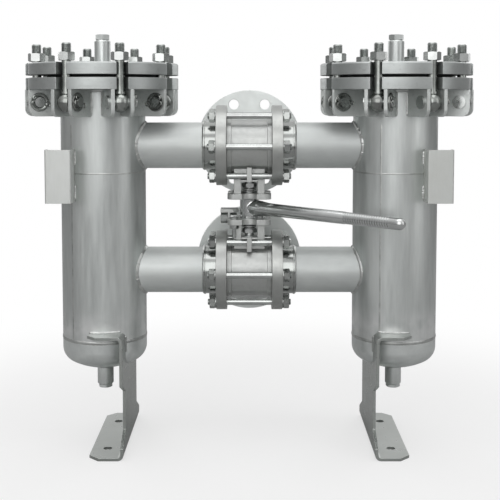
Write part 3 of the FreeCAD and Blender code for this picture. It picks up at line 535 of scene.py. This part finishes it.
def bolt_place(side, number):
    return vessel_place(side) @ turn("Z", bolt_angle(number)) @ move(BOLT_CIRCLE_R, 0, 0)


def swing_bolt(side, number):
    body = "%s_swing_bolt_%d" % (side, number)
    place = bolt_place(side, number)
    form = Form()
    eye = [(EYE_BORE_R, EYE_SINK - EYE_HALF_WIDTH), (EYE_FACE_R, -EYE_HALF_WIDTH)]
    eye += arc(0, 0, EYE_R, -EYE_FACE_ANGLE, EYE_FACE_ANGLE, 12)
    eye += [(EYE_FACE_R, EYE_HALF_WIDTH), (EYE_BORE_R, EYE_HALF_WIDTH - EYE_SINK)]
    form.hollow(eye, 48, place @ move(0, 0, PIN_Z) @ ALONG_Y)
    shank = [(r, PIN_Z + h) for r, h in SHANK_ROOT]
    form.solid(shank + [(SHANK_R, SHANK_TOP)], 32, place)
    form.done(body + "_eye", body, "bolt_steel", material="bolt_forged", hides=[body])
    stud = Form()
    stud.thread(STUD_D, STUD_LOW, STUD_TOP, STUD_PITCH, place)
    stud.done(body + "_thread", body, "bolt_steel", material="bolt_thread")
    nut = Form()
    nut_turn = 30 - bolt_angle(number) + rng.uniform(-11, 11)
    nut.nut(matrix=place @ turn("Z", nut_turn), **SWING_NUT)
    nut.done(body + "_nut", body, "bolt_steel")


# Hinge pins

LUG_OUTER = 18.5
# This pin has its tail on the other side of its lugs
TURNED_PIN = ("left", 8)
WASHER = [(8.3, 0.0), (13.4, 0.0), (13.4, 0.5), (15.0, 0.9), (15.0, 2.0), (13.9, 3.0), (9.4, 3.0),
          (8.3, 2.2)]
WASHER_GAP = 0.05
# The split pin's wire, seen along the hinge pin: two legs bent apart, and the eye at their other end
WIRE_R = 1.15
WIRE_OUT = 5.0
UPPER_LEG = [(-9.0, 0.9), (9.5, 0.9), (11.5, 2.2), (12.2, 4.6), (11.0, 7.2)]
LOWER_LEG = [(-9.0, -0.9), (9.5, -0.9), (11.5, -2.4), (11.9, -5.2), (10.6, -7.6)]
WIRE_EYE_X = -12.6
WIRE_EYE_LONG = 4.0
WIRE_EYE_HIGH = 3.2


def wire_eye():
    points = []
    for i in range(14):
        a = math.radians(20 + 320 * i / 13)
        points.append((WIRE_EYE_X + WIRE_EYE_LONG * math.cos(a), WIRE_EYE_HIGH * math.sin(a)))
    return points


def hinge_pin_fittings(side, number, form):
    """The washer and the bent split pin on the tail of a hinge pin."""
    place = bolt_place(side, number) @ move(0, 0, PIN_Z)
    if (side, number) == TURNED_PIN:
        place = place @ turn("X", 180)
    form.hollow(WASHER, 36, place @ move(0, LUG_OUTER + WASHER_GAP, 0) @ ALONG_Y)
    turned = place @ turn("Y", rng.uniform(-35, 35))
    outward = turned.to_3x3() @ Vector((0, 1, 0))
    for wire, ends in ((UPPER_LEG, 0.8), (LOWER_LEG, 0.8), (wire_eye(), 0.9)):
        path = [turned @ Vector((x, LUG_OUTER + WIRE_OUT, z)) for x, z in wire]
        form.bead(path, [outward] * len(path), WIRE_R, 1.0, 0.0, ends=ends)


for side in SIGN:
    fittings = Form()
    for number in BOLTS:
        swing_bolt(side, number)
        hinge_pin_fittings(side, number, fittings)
    fittings.done(side + "_split_pins", "frame", "bolt_steel", material="bolt_forged")


# Nipples and dished ends

NIPPLE_R = 13.45
VENT_TOP = 676.0
# The nipple with its bevelled end, and the plug's collar on it
VENT_NIPPLE = [(NIPPLE_R, 620.0), (NIPPLE_R, VENT_TOP - 1.4), (12.2, VENT_TOP), (10.6, VENT_TOP),
               (10.4, VENT_TOP + 1.4)]
VENT_PLUG = dict(across=22.0, low=VENT_TOP + 1.2, high=VENT_TOP + 10.0, bore=0)
VENT_PLUG_TURN = {"left": 12, "right": 38}
HEAD_TOP = 185.0
HEAD_SKIRT = 17.0
HEAD_WALL = 3.0
KNUCKLE_R = 26.0
CROWN_R = 118.0
DRAIN_LOW = 94.9
DRAIN_BORE_R = 10.5
DRAIN_BORE_END = DRAIN_LOW + 9.0
DRAIN_PLUG = dict(across=21.0, low=DRAIN_LOW, high=DRAIN_LOW + 5.2, bore=0)
DRAIN_PLUG_TURN = 14
# Bevelled end of the drain nipple, with heights above its plug's lower face
DRAIN_END = [(11.2, 5.0), (13.0, 6.8), (NIPPLE_R, 7.6)]


def vent(side):
    place = vessel_place(side)
    form = Form()
    form.solid(VENT_NIPPLE, 40, place)
    form.nut(matrix=place @ turn("Z", VENT_PLUG_TURN[side]), **VENT_PLUG)
    form.done(side + "_vent_plug", "frame", "vessel_steel", hides=[side + "_vent_nipple"])


def head_curve(wall, hole_r):
    """Crown and knuckle of the dished end at a depth into its wall, from the hole out to the skirt."""
    knuckle = KNUCKLE_R - wall
    crown = CROWN_R - wall
    middle_r = SHELL_R - KNUCKLE_R
    middle_z = HEAD_TOP - HEAD_SKIRT
    crown_z = middle_z + math.sqrt((CROWN_R - KNUCKLE_R) ** 2 - middle_r ** 2)
    lean = math.degrees(math.asin(middle_r / (CROWN_R - KNUCKLE_R)))
    start = math.degrees(math.asin(hole_r / crown))
    curve = arc(0, crown_z, crown, start - 90, lean - 90, 14)[:-1]
    curve += arc(middle_r, middle_z, knuckle, lean - 90, 0, 12)
    return curve + [(SHELL_R - wall, HEAD_TOP)]


def head(side):
    place = vessel_place(side)
    outside = [(r, DRAIN_LOW + h) for r, h in DRAIN_END] + head_curve(0.0, NIPPLE_R)
    inside = head_curve(HEAD_WALL, DRAIN_BORE_R)[::-1] + [(DRAIN_BORE_R, DRAIN_BORE_END)]
    form = Form()
    form.solid(outside + inside, 96, place)
    form.nut(matrix=place @ turn("Z", DRAIN_PLUG_TURN), **DRAIN_PLUG)
    form.done(side + "_dished_end", "frame", "vessel_steel", material="pressed_steel",
              hides=[side + "_head"])


for side in SIGN:
    vent(side)
for side in SIGN:
    head(side)


# Valves, drawn upright about their own centre

ROD_CIRCLE_R = 57
ROD_R = 5.2
ROD_HALF_LENGTH = 51.0
# The port is in the way of the rear rod, which is two short studs
REAR_ROD = 3
REAR_STUD_START = 26.0
ROD_THREAD_D = 11.0
ROD_THREAD_PITCH = 1.5
ROD_THREAD_START = 50.0
ROD_END = 68.5
PLATE_FACE = 54.65
ROD_WASHER = [(5.6, PLATE_FACE), (10.2, PLATE_FACE), (10.4, 54.9), (10.4, 56.1), (10.2, 56.3), (5.6, 56.3)]
ROD_NUT = dict(across=19.0, low=56.3, high=65.6, bore=4.9)
STEM = [(8.0, 31.2), (8.0, 92.7), (7.2, 93.5)]
GLAND_NUT = dict(across=22.0, low=62.5, high=69.5, bore=8.05)
SPRING_BORE_R = 8.1
SPRING_R = 12.0
SPRING_LOW = 69.6
SPRING_STEP = 1.95
SPRING_TILT = 0.35
SPRING_FACES = (0.35, 1.45)
STUB_INNER_R = 39.6
STUB_R = 40.06
STUB_END = 72.6
STUB_LIP = [(STUB_INNER_R, 72.8), (40.9, 72.8), (41.1, 73.1), (41.1, 75.2), (40.6, 75.9),
            (STUB_INNER_R, 75.9)]


def valve_place(valve):
    centre = move(0, AXIS_Y, BRANCH_Z[valve])
    return centre @ turn("Y", 180) if valve == "upper" else centre


def tie_rods(valve):
    """Rods with threaded ends, washers and nuts."""
    bars = Form()
    threads = Form()
    nuts = Form()
    for i in range(6):
        a = math.radians(60 * i - 90)
        rod = valve_place(valve) @ move(0, ROD_CIRCLE_R * math.sin(a), ROD_CIRCLE_R * math.cos(a))
        for direction in (AGAINST_X, ALONG_X):
            end = rod @ direction
            threads.thread(ROD_THREAD_D, ROD_THREAD_START, ROD_END, ROD_THREAD_PITCH, end, 16, 4)
            nuts.hollow(ROD_WASHER, 28, end)
            nuts.nut(matrix=end @ turn("Z", 30 + rng.uniform(-6, 6)), **ROD_NUT)
            if i == REAR_ROD:
                bars.solid([(ROD_R, REAR_STUD_START), (ROD_R, ROD_HALF_LENGTH)], 24, end)
        if i != REAR_ROD:
            bars.solid([(ROD_R, -ROD_HALF_LENGTH), (ROD_R, ROD_HALF_LENGTH)], 24, rod @ ALONG_X)
    bars.done(valve + "_rods", "frame", "bolt_steel", hides=[valve + "_tie_rods"])
    threads.done(valve + "_rod_threads", "frame", "bolt_steel", material="bolt_thread")
    nuts.done(valve + "_rod_nuts", "frame", "bolt_steel", material="rod_nut")


def stem(valve):
    """The stem with its gland nut and four disc springs, dished in turn down and up."""
    place = valve_place(valve)
    form = Form()
    form.solid(STEM, 28, place)
    form.nut(matrix=place @ turn("Z", 25), **GLAND_NUT)
    for i in range(4):
        low = SPRING_LOW + SPRING_STEP * i
        tilt = SPRING_TILT if i % 2 else -SPRING_TILT
        lower, upper = [low + face for face in SPRING_FACES]
        under = [(SPRING_BORE_R, lower - tilt), (SPRING_R, lower + tilt)]
        over = [(SPRING_R, upper + tilt), (SPRING_BORE_R, upper - tilt)]
        form.hollow(under + over, 32, place)
    form.done(valve + "_stem_set", "changeover", "lever_steel", hides=[valve + "_stem"])


def stub_ends(valve):
    """The turned outer surfaces of the end connectors, brighter than the cast plates."""
    form = Form()
    sleeve = [(STUB_INNER_R, PLATE_FACE), (STUB_R, PLATE_FACE), (STUB_R, STUB_END), (STUB_INNER_R, STUB_END)]
    for direction in (ALONG_X, AGAINST_X):
        end = valve_place(valve) @ direction
        form.hollow(sleeve, 96, end)
        form.hollow(STUB_LIP, 96, end)
    form.done(valve + "_stub_ends", "frame", "valve_casting", material="valve_turned")


for valve in BRANCH_Z:
    tie_rods(valve)
    stem(valve)
    stub_ends(valve)


# Changeover lever

LEVER_Z = 399.0
LEVER_ANGLE = -45.0
HUB_R = 15.5
HUB = [(14.7, 381.8), (HUB_R, 382.6), (HUB_R, 413.9), (14.7, 414.7)]
LEVER_ROOT_R = 13.4
# The bar, as (radius, distance from the hub's axis), out to where the grip starts
LEVER_BAR = [(0, 12.6), (LEVER_ROOT_R, 12.6), (LEVER_ROOT_R, 19.0), (13.0, 26.0), (12.0, 34.0), (11.0, 43.0),
             (10.5, 54.0), (10.3, 70.0), (9.7, 206.0), (9.25, 207.5)]
GRIP_R = 9.25
GROOVE_R = 7.9
GROOVE = [(GRIP_R, 0.0), (GROOVE_R, 0.8), (GROOVE_R, 1.7), (GRIP_R, 2.5)]
GROOVE_PITCH = 4.6
GROOVES_START = 208.5
GROOVES_END = 295.0
# The plain end of the grip and its rounded tip
GRIP_END = [(GRIP_R, 300.0), (GRIP_R, 308.0)] + arc(0, 308.7, 9.2, 12, 90, 7)[:-1] + [(0, 317.9)]


def lever_bar(place):
    profile = list(LEVER_BAR)
    start = GROOVES_START
    while start < GROOVES_END:
        profile += [(r, start + h) for r, h in GROOVE]
        start += GROOVE_PITCH
    form = Form()
    form.lathe(profile + GRIP_END, 36, place @ ALONG_X)
    form.done("lever_bar", "changeover", "lever_steel", hides=["lever_handle"])


def lever_weld(place):
    """Follows the line where the round bar meets the round hub."""
    path = []
    outward = []
    for i in range(64):
        a = 2 * math.pi * i / 64
        across = LEVER_ROOT_R * math.cos(a)
        up = LEVER_ROOT_R * math.sin(a)
        reach = math.sqrt(HUB_R ** 2 - across ** 2)
        out = Vector((0.7 + reach / HUB_R, across / HUB_R + math.cos(a), math.sin(a)))
        path.append(place @ Vector((reach, across, up)))
        outward.append(place.to_3x3() @ out)
    form = Form()
    form.bead(path, outward, *WELD["lever"], closed=True)
    form.done("lever_weld", "changeover", "lever_steel")


def lever():
    place = move(0, AXIS_Y, LEVER_Z) @ turn("Z", LEVER_ANGLE)
    lever_bar(place)
    lever_weld(place)
    hub = Form()
    hub.solid(HUB, 44, move(0, AXIS_Y, 0))
    hub.done("hub_turned", "changeover", "lever_steel", hides=["lever_hub"])


# Stops beside the hub

# The bolt lies along X, with its head outside and a crowned cap towards the hub
STOP_BOLT_Z = 382.3
STOP_BOLT_HEAD = dict(across=17.0, low=-47.7, high=-36.2, bore=0)
STOP_BOLT_SHANK = [(5.0, -36.4), (5.0, -26.8), (4.2, -26.0)]
STOP_CAP_RISE = 0.6
STOP_CAP = [(0, -31.8), (6.2, -31.8), (6.9, -31.0), (6.9, -22.5), (6.3, -20.6), (4.6, -19.3), (0, -19.0)]
STOP_PIN_X = 25.0
STOP_PIN = [(4.5, 382.0), (4.5, 390.3), (3.3, 391.5)]
# The screw stands in a corner of the mounting pad, with its nut below
PAD_SCREW_AWAY = 25.0
PAD_SCREW_HEAD = dict(across=12.0, low=382.05, high=386.3, bore=0)
PAD_SCREW_SHANK = [(3.35, 352.0), (3.35, 382.2)]
PAD_SCREW_NUT = dict(across=13.0, low=366.5, high=372.9, bore=3.3)


def stops():
    bolt = move(0, AXIS_Y, STOP_BOLT_Z) @ ALONG_X
    form = Form()
    form.nut(matrix=bolt @ turn("Z", 30), **STOP_BOLT_HEAD)
    form.lathe(STOP_CAP, 32, move(0, 0, STOP_CAP_RISE) @ bolt)
    form.solid(STOP_BOLT_SHANK, 24, bolt)
    form.solid(STOP_PIN, 24, move(STOP_PIN_X, AXIS_Y, 0))
    screw = move(-PAD_SCREW_AWAY, AXIS_Y - PAD_SCREW_AWAY, 0)
    form.nut(matrix=screw @ turn("Z", 30), **PAD_SCREW_HEAD)
    form.solid(PAD_SCREW_SHANK, 20, screw)
    form.nut(matrix=screw @ turn("Z", 30), **PAD_SCREW_NUT)
    form.done("stop_screws", "frame", "bolt_steel", hides=["stop_bolts"])


lever()
stops()


# Welds

HEAD_WELD_Z = 185.0
SEAT_RING_Z = 460.0
SEAM_ANGLE = {"left": -129.0, "right": -117.0}
FLANGE_WELD_Z = 593.6
FLANGE_WELD_R = SHELL_R + 0.8
NIPPLE_WELD_R = 14.2
DRAIN_WELD_Z = 131.6
VENT_WELD_Z = 638.7
# The leg's shelf runs from here, as a distance from the vessel's axis, away from the other vessel
SHELF_START = -34.5
SHELF_LENGTH = 51.0
# Height of the shelf's upper and lower weld, and how far each leans up
SHELF_WELDS = ((203.0, 0.8), (196.4, -0.8))
# Faces of the leg's web and of the bracket's inner arm, from the vessel's axis away from the other
# vessel, and how far the weld on each leans the same way
WEB_FACES = ((-41.6, -0.6), (-35.4, 0.6))
BRACKET_FACES = ((37.3, -0.6), (41.2, 0.6))
BRACKET_TACKS_Z = (419.0, 474.0)
# Outer and inner face of a hinge lug, from the bolt's middle, and how far the weld on each leans out
LUG_FACES = ((18.9, 0.9), (12.1, -0.9))
LUG_WELD_RISE = 0.3
STUB_WELD_X = 75.0
PORT_PIPE_WELD_Y = 70.4
PORT_PIPE_WELD_R = 37.4
PORT_FLANGE_WELD_Y = 123.6
PORT_FLANGE_WELD_R = 38.6


def circle(axis, centre, r, count, lean=0.0):
    """Points around a circle, and the outward direction at each, which may lean along the axis."""
    path = []
    outward = []
    axis_index = "XYZ".index(axis)
    for i in range(count):
        a = 2 * math.pi * i / count
        out = [math.cos(a), math.sin(a)]
        out.insert(axis_index, 0.0)
        path.append([c + r * o for c, o in zip(centre, out)])
        out[axis_index] = lean
        outward.append(out)
    return path, outward


def climb(low, step, count):
    """Heights from low upwards."""
    return [low + step * i for i in range(count)]


def shell_y(across):
    """How far in front of or behind its axis the vessel's surface is, at a distance across."""
    return math.sqrt(SHELL_R ** 2 - across ** 2)


def vessel_ring_weld(form, side, z, r, count, kind, lean=0.0):
    centre = (SIGN[side] * VESSEL_X, AXIS_Y, z)
    form.bead(*circle("Z", centre, r, count, lean), *WELD[kind], closed=True)


def seam_weld(form, side):
    """The lengthwise seam of the shell, from just above the dished end's weld to below the hinge lugs."""
    seam = math.radians(SEAM_ANGLE[side])
    out = (math.cos(seam), math.sin(seam), 0)
    x = SIGN[side] * VESSEL_X + SHELL_R * out[0]
    path = [(x, AXIS_Y + SHELL_R * out[1], z) for z in climb(188.0, 3.0, 118)]
    form.bead(path, [out] * len(path), *WELD["seam"])


def branch_weld(form, side, z):
    """Follows the saddle line where a branch pipe meets the vessel."""
    inward = -SIGN[side]
    path = []
    outward = []
    for i in range(170):
        a = 2 * math.pi * i / 170
        y = BRANCH_R * math.cos(a)
        reach = shell_y(y)
        path.append((SIGN[side] * VESSEL_X + inward * reach, AXIS_Y + y, z + BRANCH_R * math.sin(a)))
        outward.append((inward * reach / SHELL_R, y / SHELL_R + math.cos(a), math.sin(a)))
    form.bead(path, outward, *WELD["branch"], closed=True)


def upright_weld(form, side, across, lean, y_sign, heights, kind):
    """A bead up the vessel, beside a sheet that stands off it."""
    sign = SIGN[side]
    y = y_sign * shell_y(across)
    path = [(sign * VESSEL_X + sign * across, AXIS_Y + y, z) for z in heights]
    out = (sign * (across / SHELL_R + lean), y / SHELL_R, 0)
    form.bead(path, [out] * len(path), *WELD[kind])


def leg_welds(form, side, y_sign):
    """Above and below the leg's shelf, and on both faces of its web."""
    sign = SIGN[side]
    for z, lean in SHELF_WELDS:
        path = []
        outward = []
        for i in range(44):
            across = SHELF_START + SHELF_LENGTH * i / 43
            y = y_sign * shell_y(across)
            path.append((sign * VESSEL_X + sign * across, AXIS_Y + y, z))
            outward.append((sign * across / SHELL_R, y / SHELL_R, lean))
        form.bead(path, outward, *WELD["shelf"])
    for across, lean in WEB_FACES:
        upright_weld(form, side, across, lean, y_sign, climb(168.0, 1.2, 23), "web")


def lug_welds(form, side, number):
    """Both faces of each of a bolt's two hinge lugs."""
    place = vessel_place(side) @ turn("Z", bolt_angle(number))
    for way in (-1, 1):
        for offset, lean in LUG_FACES:
            y = way * offset
            reach = shell_y(y)
            out = place.to_3x3() @ Vector((reach / SHELL_R, way * lean, 0))
            path = [place @ Vector((reach + LUG_WELD_RISE, y, z)) for z in climb(553.0, 1.9, 22)]
            form.bead(path, [out] * len(path), *WELD["lug"], sides=6)


def vessel_welds(side):
    form = Form()
    vessel_ring_weld(form, side, HEAD_WELD_Z, SHELL_R, 200, "head")
    vessel_ring_weld(form, side, SEAT_RING_Z, SHELL_R, 200, "seat_ring")
    seam_weld(form, side)
    vessel_ring_weld(form, side, FLANGE_WELD_Z, FLANGE_WELD_R, 160, "flange", -0.8)
    vessel_ring_weld(form, side, DRAIN_WELD_Z, NIPPLE_WELD_R, 64, "drain", -0.9)
    vessel_ring_weld(form, side, VENT_WELD_Z, NIPPLE_WELD_R, 64, "vent", 0.9)
    for z in BRANCH_Z.values():
        branch_weld(form, side, z)
    for y_sign in (-1, 1):
        leg_welds(form, side, y_sign)
    for across, lean in BRACKET_FACES:
        for low in BRACKET_TACKS_Z:
            upright_weld(form, side, across, lean, -1, climb(low, 1.3, 18), "bracket")
    for number in BOLTS:
        lug_welds(form, side, number)
    form.done(side + "_welds", "frame", "vessel_steel", material="weld_bead")


def valve_welds(valve):
    z = BRANCH_Z[valve]
    form = Form()
    for sign in (-1, 1):
        stub = (sign * STUB_WELD_X, AXIS_Y, z)
        form.bead(*circle("X", stub, STUB_INNER_R, 110, 0.3 * sign), *WELD["stub"], closed=True)
    port_pipe = (0, PORT_PIPE_WELD_Y + AXIS_Y, z)
    form.bead(*circle("Y", port_pipe, PORT_PIPE_WELD_R, 110), *WELD["port_pipe"], closed=True)
    port_flange = (0, PORT_FLANGE_WELD_Y + AXIS_Y, z)
    form.bead(*circle("Y", port_flange, PORT_FLANGE_WELD_R, 110, -0.9), *WELD["port_flange"], closed=True)
    form.done(valve + "_valve_welds", "frame", "vessel_steel", material="weld_bead")


for side in SIGN:
    vessel_welds(side)
for valve in BRANCH_Z:
    valve_welds(valve)


# Stage

scene = bpy.context.scene
scene.view_settings.view_transform = "Standard"

SENSOR_WIDTH = 36.0
FRAME_PIXELS = 500.0
FOCAL_PIXELS = 990.9
CAMERA_PITCH = 3.92
CAMERA_SHIFT = (0.0014, -0.17)
CAMERA_PLACE = (0.0, -1.6684, 0.583)
WHITE = (1, 1, 1, 1)
PALE = (0.95, 0.95, 0.95, 1)
FLOOR_GREY = (0.50, 0.50, 0.50, 1)
FLOOR_HALF = 30.0
# Distances between which the floor turns white, and how white it is at each
FLOOR_FADE = (0.35, 1.1)
FLOOR_GLOW = (0.6, 1.0)
LAMPS_AIM = (0, -0.02, 0.36)
SOFT_LIGHT = 0.42
# Greys seen in reflections, where 0 and 1 look to the front, 0.25 to -X, 0.5 to the rear and 0.75 to +X
STUDIO = [(0.0, 0.90), (0.07, 0.94), (0.14, 0.88), (0.19, 0.50), (0.26, 0.28), (0.36, 0.34), (0.44, 0.62),
          (0.5, 0.75), (0.56, 0.62), (0.64, 0.34), (0.74, 0.28), (0.81, 0.42), (0.87, 0.60), (0.93, 0.78),
          (1.0, 0.90)]


def background(tree, colour, strength=1.0):
    node = tree.nodes.new("ShaderNodeBackground")
    feed(tree, colour, node.inputs["Color"])
    socket(node, "Strength", strength)
    return node.outputs["Background"]


def choose(tree, factor, first, second):
    """The first shader where factor is 0, the second where it is 1."""
    node = tree.nodes.new("ShaderNodeMixShader")
    for value, target in zip((factor, first, second), node.inputs):
        tree.links.new(value, target)
    return node.outputs["Shader"]


def camera():
    data = bpy.data.cameras.new("camera")
    data.sensor_width = SENSOR_WIDTH
    data.lens = FOCAL_PIXELS * SENSOR_WIDTH / FRAME_PIXELS
    data.shift_x = CAMERA_SHIFT[0]
    data.shift_y = CAMERA_SHIFT[1]
    data.clip_end = 50.0
    obj = bpy.data.objects.new("camera", data)
    obj.location = CAMERA_PLACE
    obj.rotation_euler = (math.radians(90 - CAMERA_PITCH), 0, 0)
    scene.collection.objects.link(obj)
    scene.camera = obj


def lamp(name, azimuth, elevation, distance, width, height, power):
    """A soft box. Azimuth 0 stands in front of the object, 90 to its right."""
    data = bpy.data.lights.new(name, "AREA")
    data.shape = "RECTANGLE"
    data.size = width
    data.size_y = height
    data.energy = power
    obj = bpy.data.objects.new(name, data)
    a = math.radians(azimuth)
    e = math.radians(elevation)
    way = Vector((math.sin(a) * math.cos(e), -math.cos(a) * math.cos(e), math.sin(e)))
    obj.location = Vector(LAMPS_AIM) + way * distance
    obj.rotation_euler = way.to_track_quat("Z", "Y").to_euler()
    scene.collection.objects.link(obj)


def world():
    """White to the camera. Reflections see a pale studio with soft dark gaps between its screens."""
    made = bpy.data.worlds.new("studio")
    scene.world = made
    made.use_nodes = True
    tree = made.node_tree
    tree.nodes.clear()
    out = tree.nodes.new("ShaderNodeOutputWorld")
    ray = tree.nodes.new("ShaderNodeLightPath").outputs
    way = split_xyz(tree, tree.nodes.new("ShaderNodeTexCoord").outputs["Generated"])
    turned = remap(tree, calculate(tree, "ARCTAN2", way["X"], way["Y"]), (-math.pi, math.pi))
    around = colour_ramp(tree, turned, [(position, (grey,) * 3) for position, grey in STUDIO], "EASE")
    sky = blend(tree, remap(tree, way["Z"], (0.25, 0.95)), around, PALE)
    shiny = calculate(tree, "MAXIMUM", ray["Is Glossy Ray"], ray["Is Transmission Ray"])
    seen_by_object = choose(tree, shiny, background(tree, WHITE, SOFT_LIGHT), background(tree, sky))
    seen = choose(tree, ray["Is Camera Ray"], seen_by_object, background(tree, WHITE))
    tree.links.new(seen, out.inputs["Surface"])


def floor_finish():
    """Keeps the shadow near the object and goes over to plain white farther out."""
    mat = bpy.data.materials.new("floor")
    mat.use_nodes = True
    tree = mat.node_tree
    bsdf = tree.nodes["Principled BSDF"]
    socket(bsdf, "Roughness", 0.9)
    socket(bsdf, "Specular IOR Level", 0.0)
    to_camera = tree.nodes.new("ShaderNodeLightPath").outputs["Is Camera Ray"]
    tree.links.new(blend(tree, to_camera, FLOOR_GREY, PALE), bsdf.inputs["Base Color"])
    away = tree.nodes.new("ShaderNodeVectorMath")
    away.operation = "LENGTH"
    place = tree.nodes.new("ShaderNodeTexCoord").outputs["Object"]
    tree.links.new(place, away.inputs[0])
    fade = remap(tree, away.outputs["Value"], FLOOR_FADE, FLOOR_GLOW, "SMOOTHERSTEP")
    glow = tree.nodes.new("ShaderNodeEmission").outputs["Emission"]
    seen = choose(tree, calculate(tree, "MULTIPLY", fade, to_camera), bsdf.outputs["BSDF"], glow)
    tree.links.new(seen, tree.nodes["Material Output"].inputs["Surface"])
    return mat


def floor():
    mesh = bpy.data.meshes.new("floor")
    corners = [(x * FLOOR_HALF, y * FLOOR_HALF, 0) for x, y in ((-1, -1), (1, -1), (1, 1), (-1, 1))]
    mesh.from_pydata(corners, [], [(0, 1, 2, 3)])
    mesh.materials.append(floor_finish())
    obj = bpy.data.objects.new("floor", mesh)
    scene.collection.objects.link(obj)


camera()
world()
floor()
lamp("key", azimuth=-12, elevation=22, distance=2.3, width=2.0, height=1.7, power=13.0)
lamp("fill", azimuth=62, elevation=16, distance=2.6, width=1.0, height=2.0, power=5.0)
lamp("top", azimuth=0, elevation=80, distance=2.2, width=2.4, height=1.6, power=15.0)
lamp("rear_left", azimuth=-145, elevation=22, distance=2.6, width=1.2, height=1.8, power=7.0)
lamp("rear_right", azimuth=145, elevation=22, distance=2.6, width=1.2, height=1.8, power=7.0)
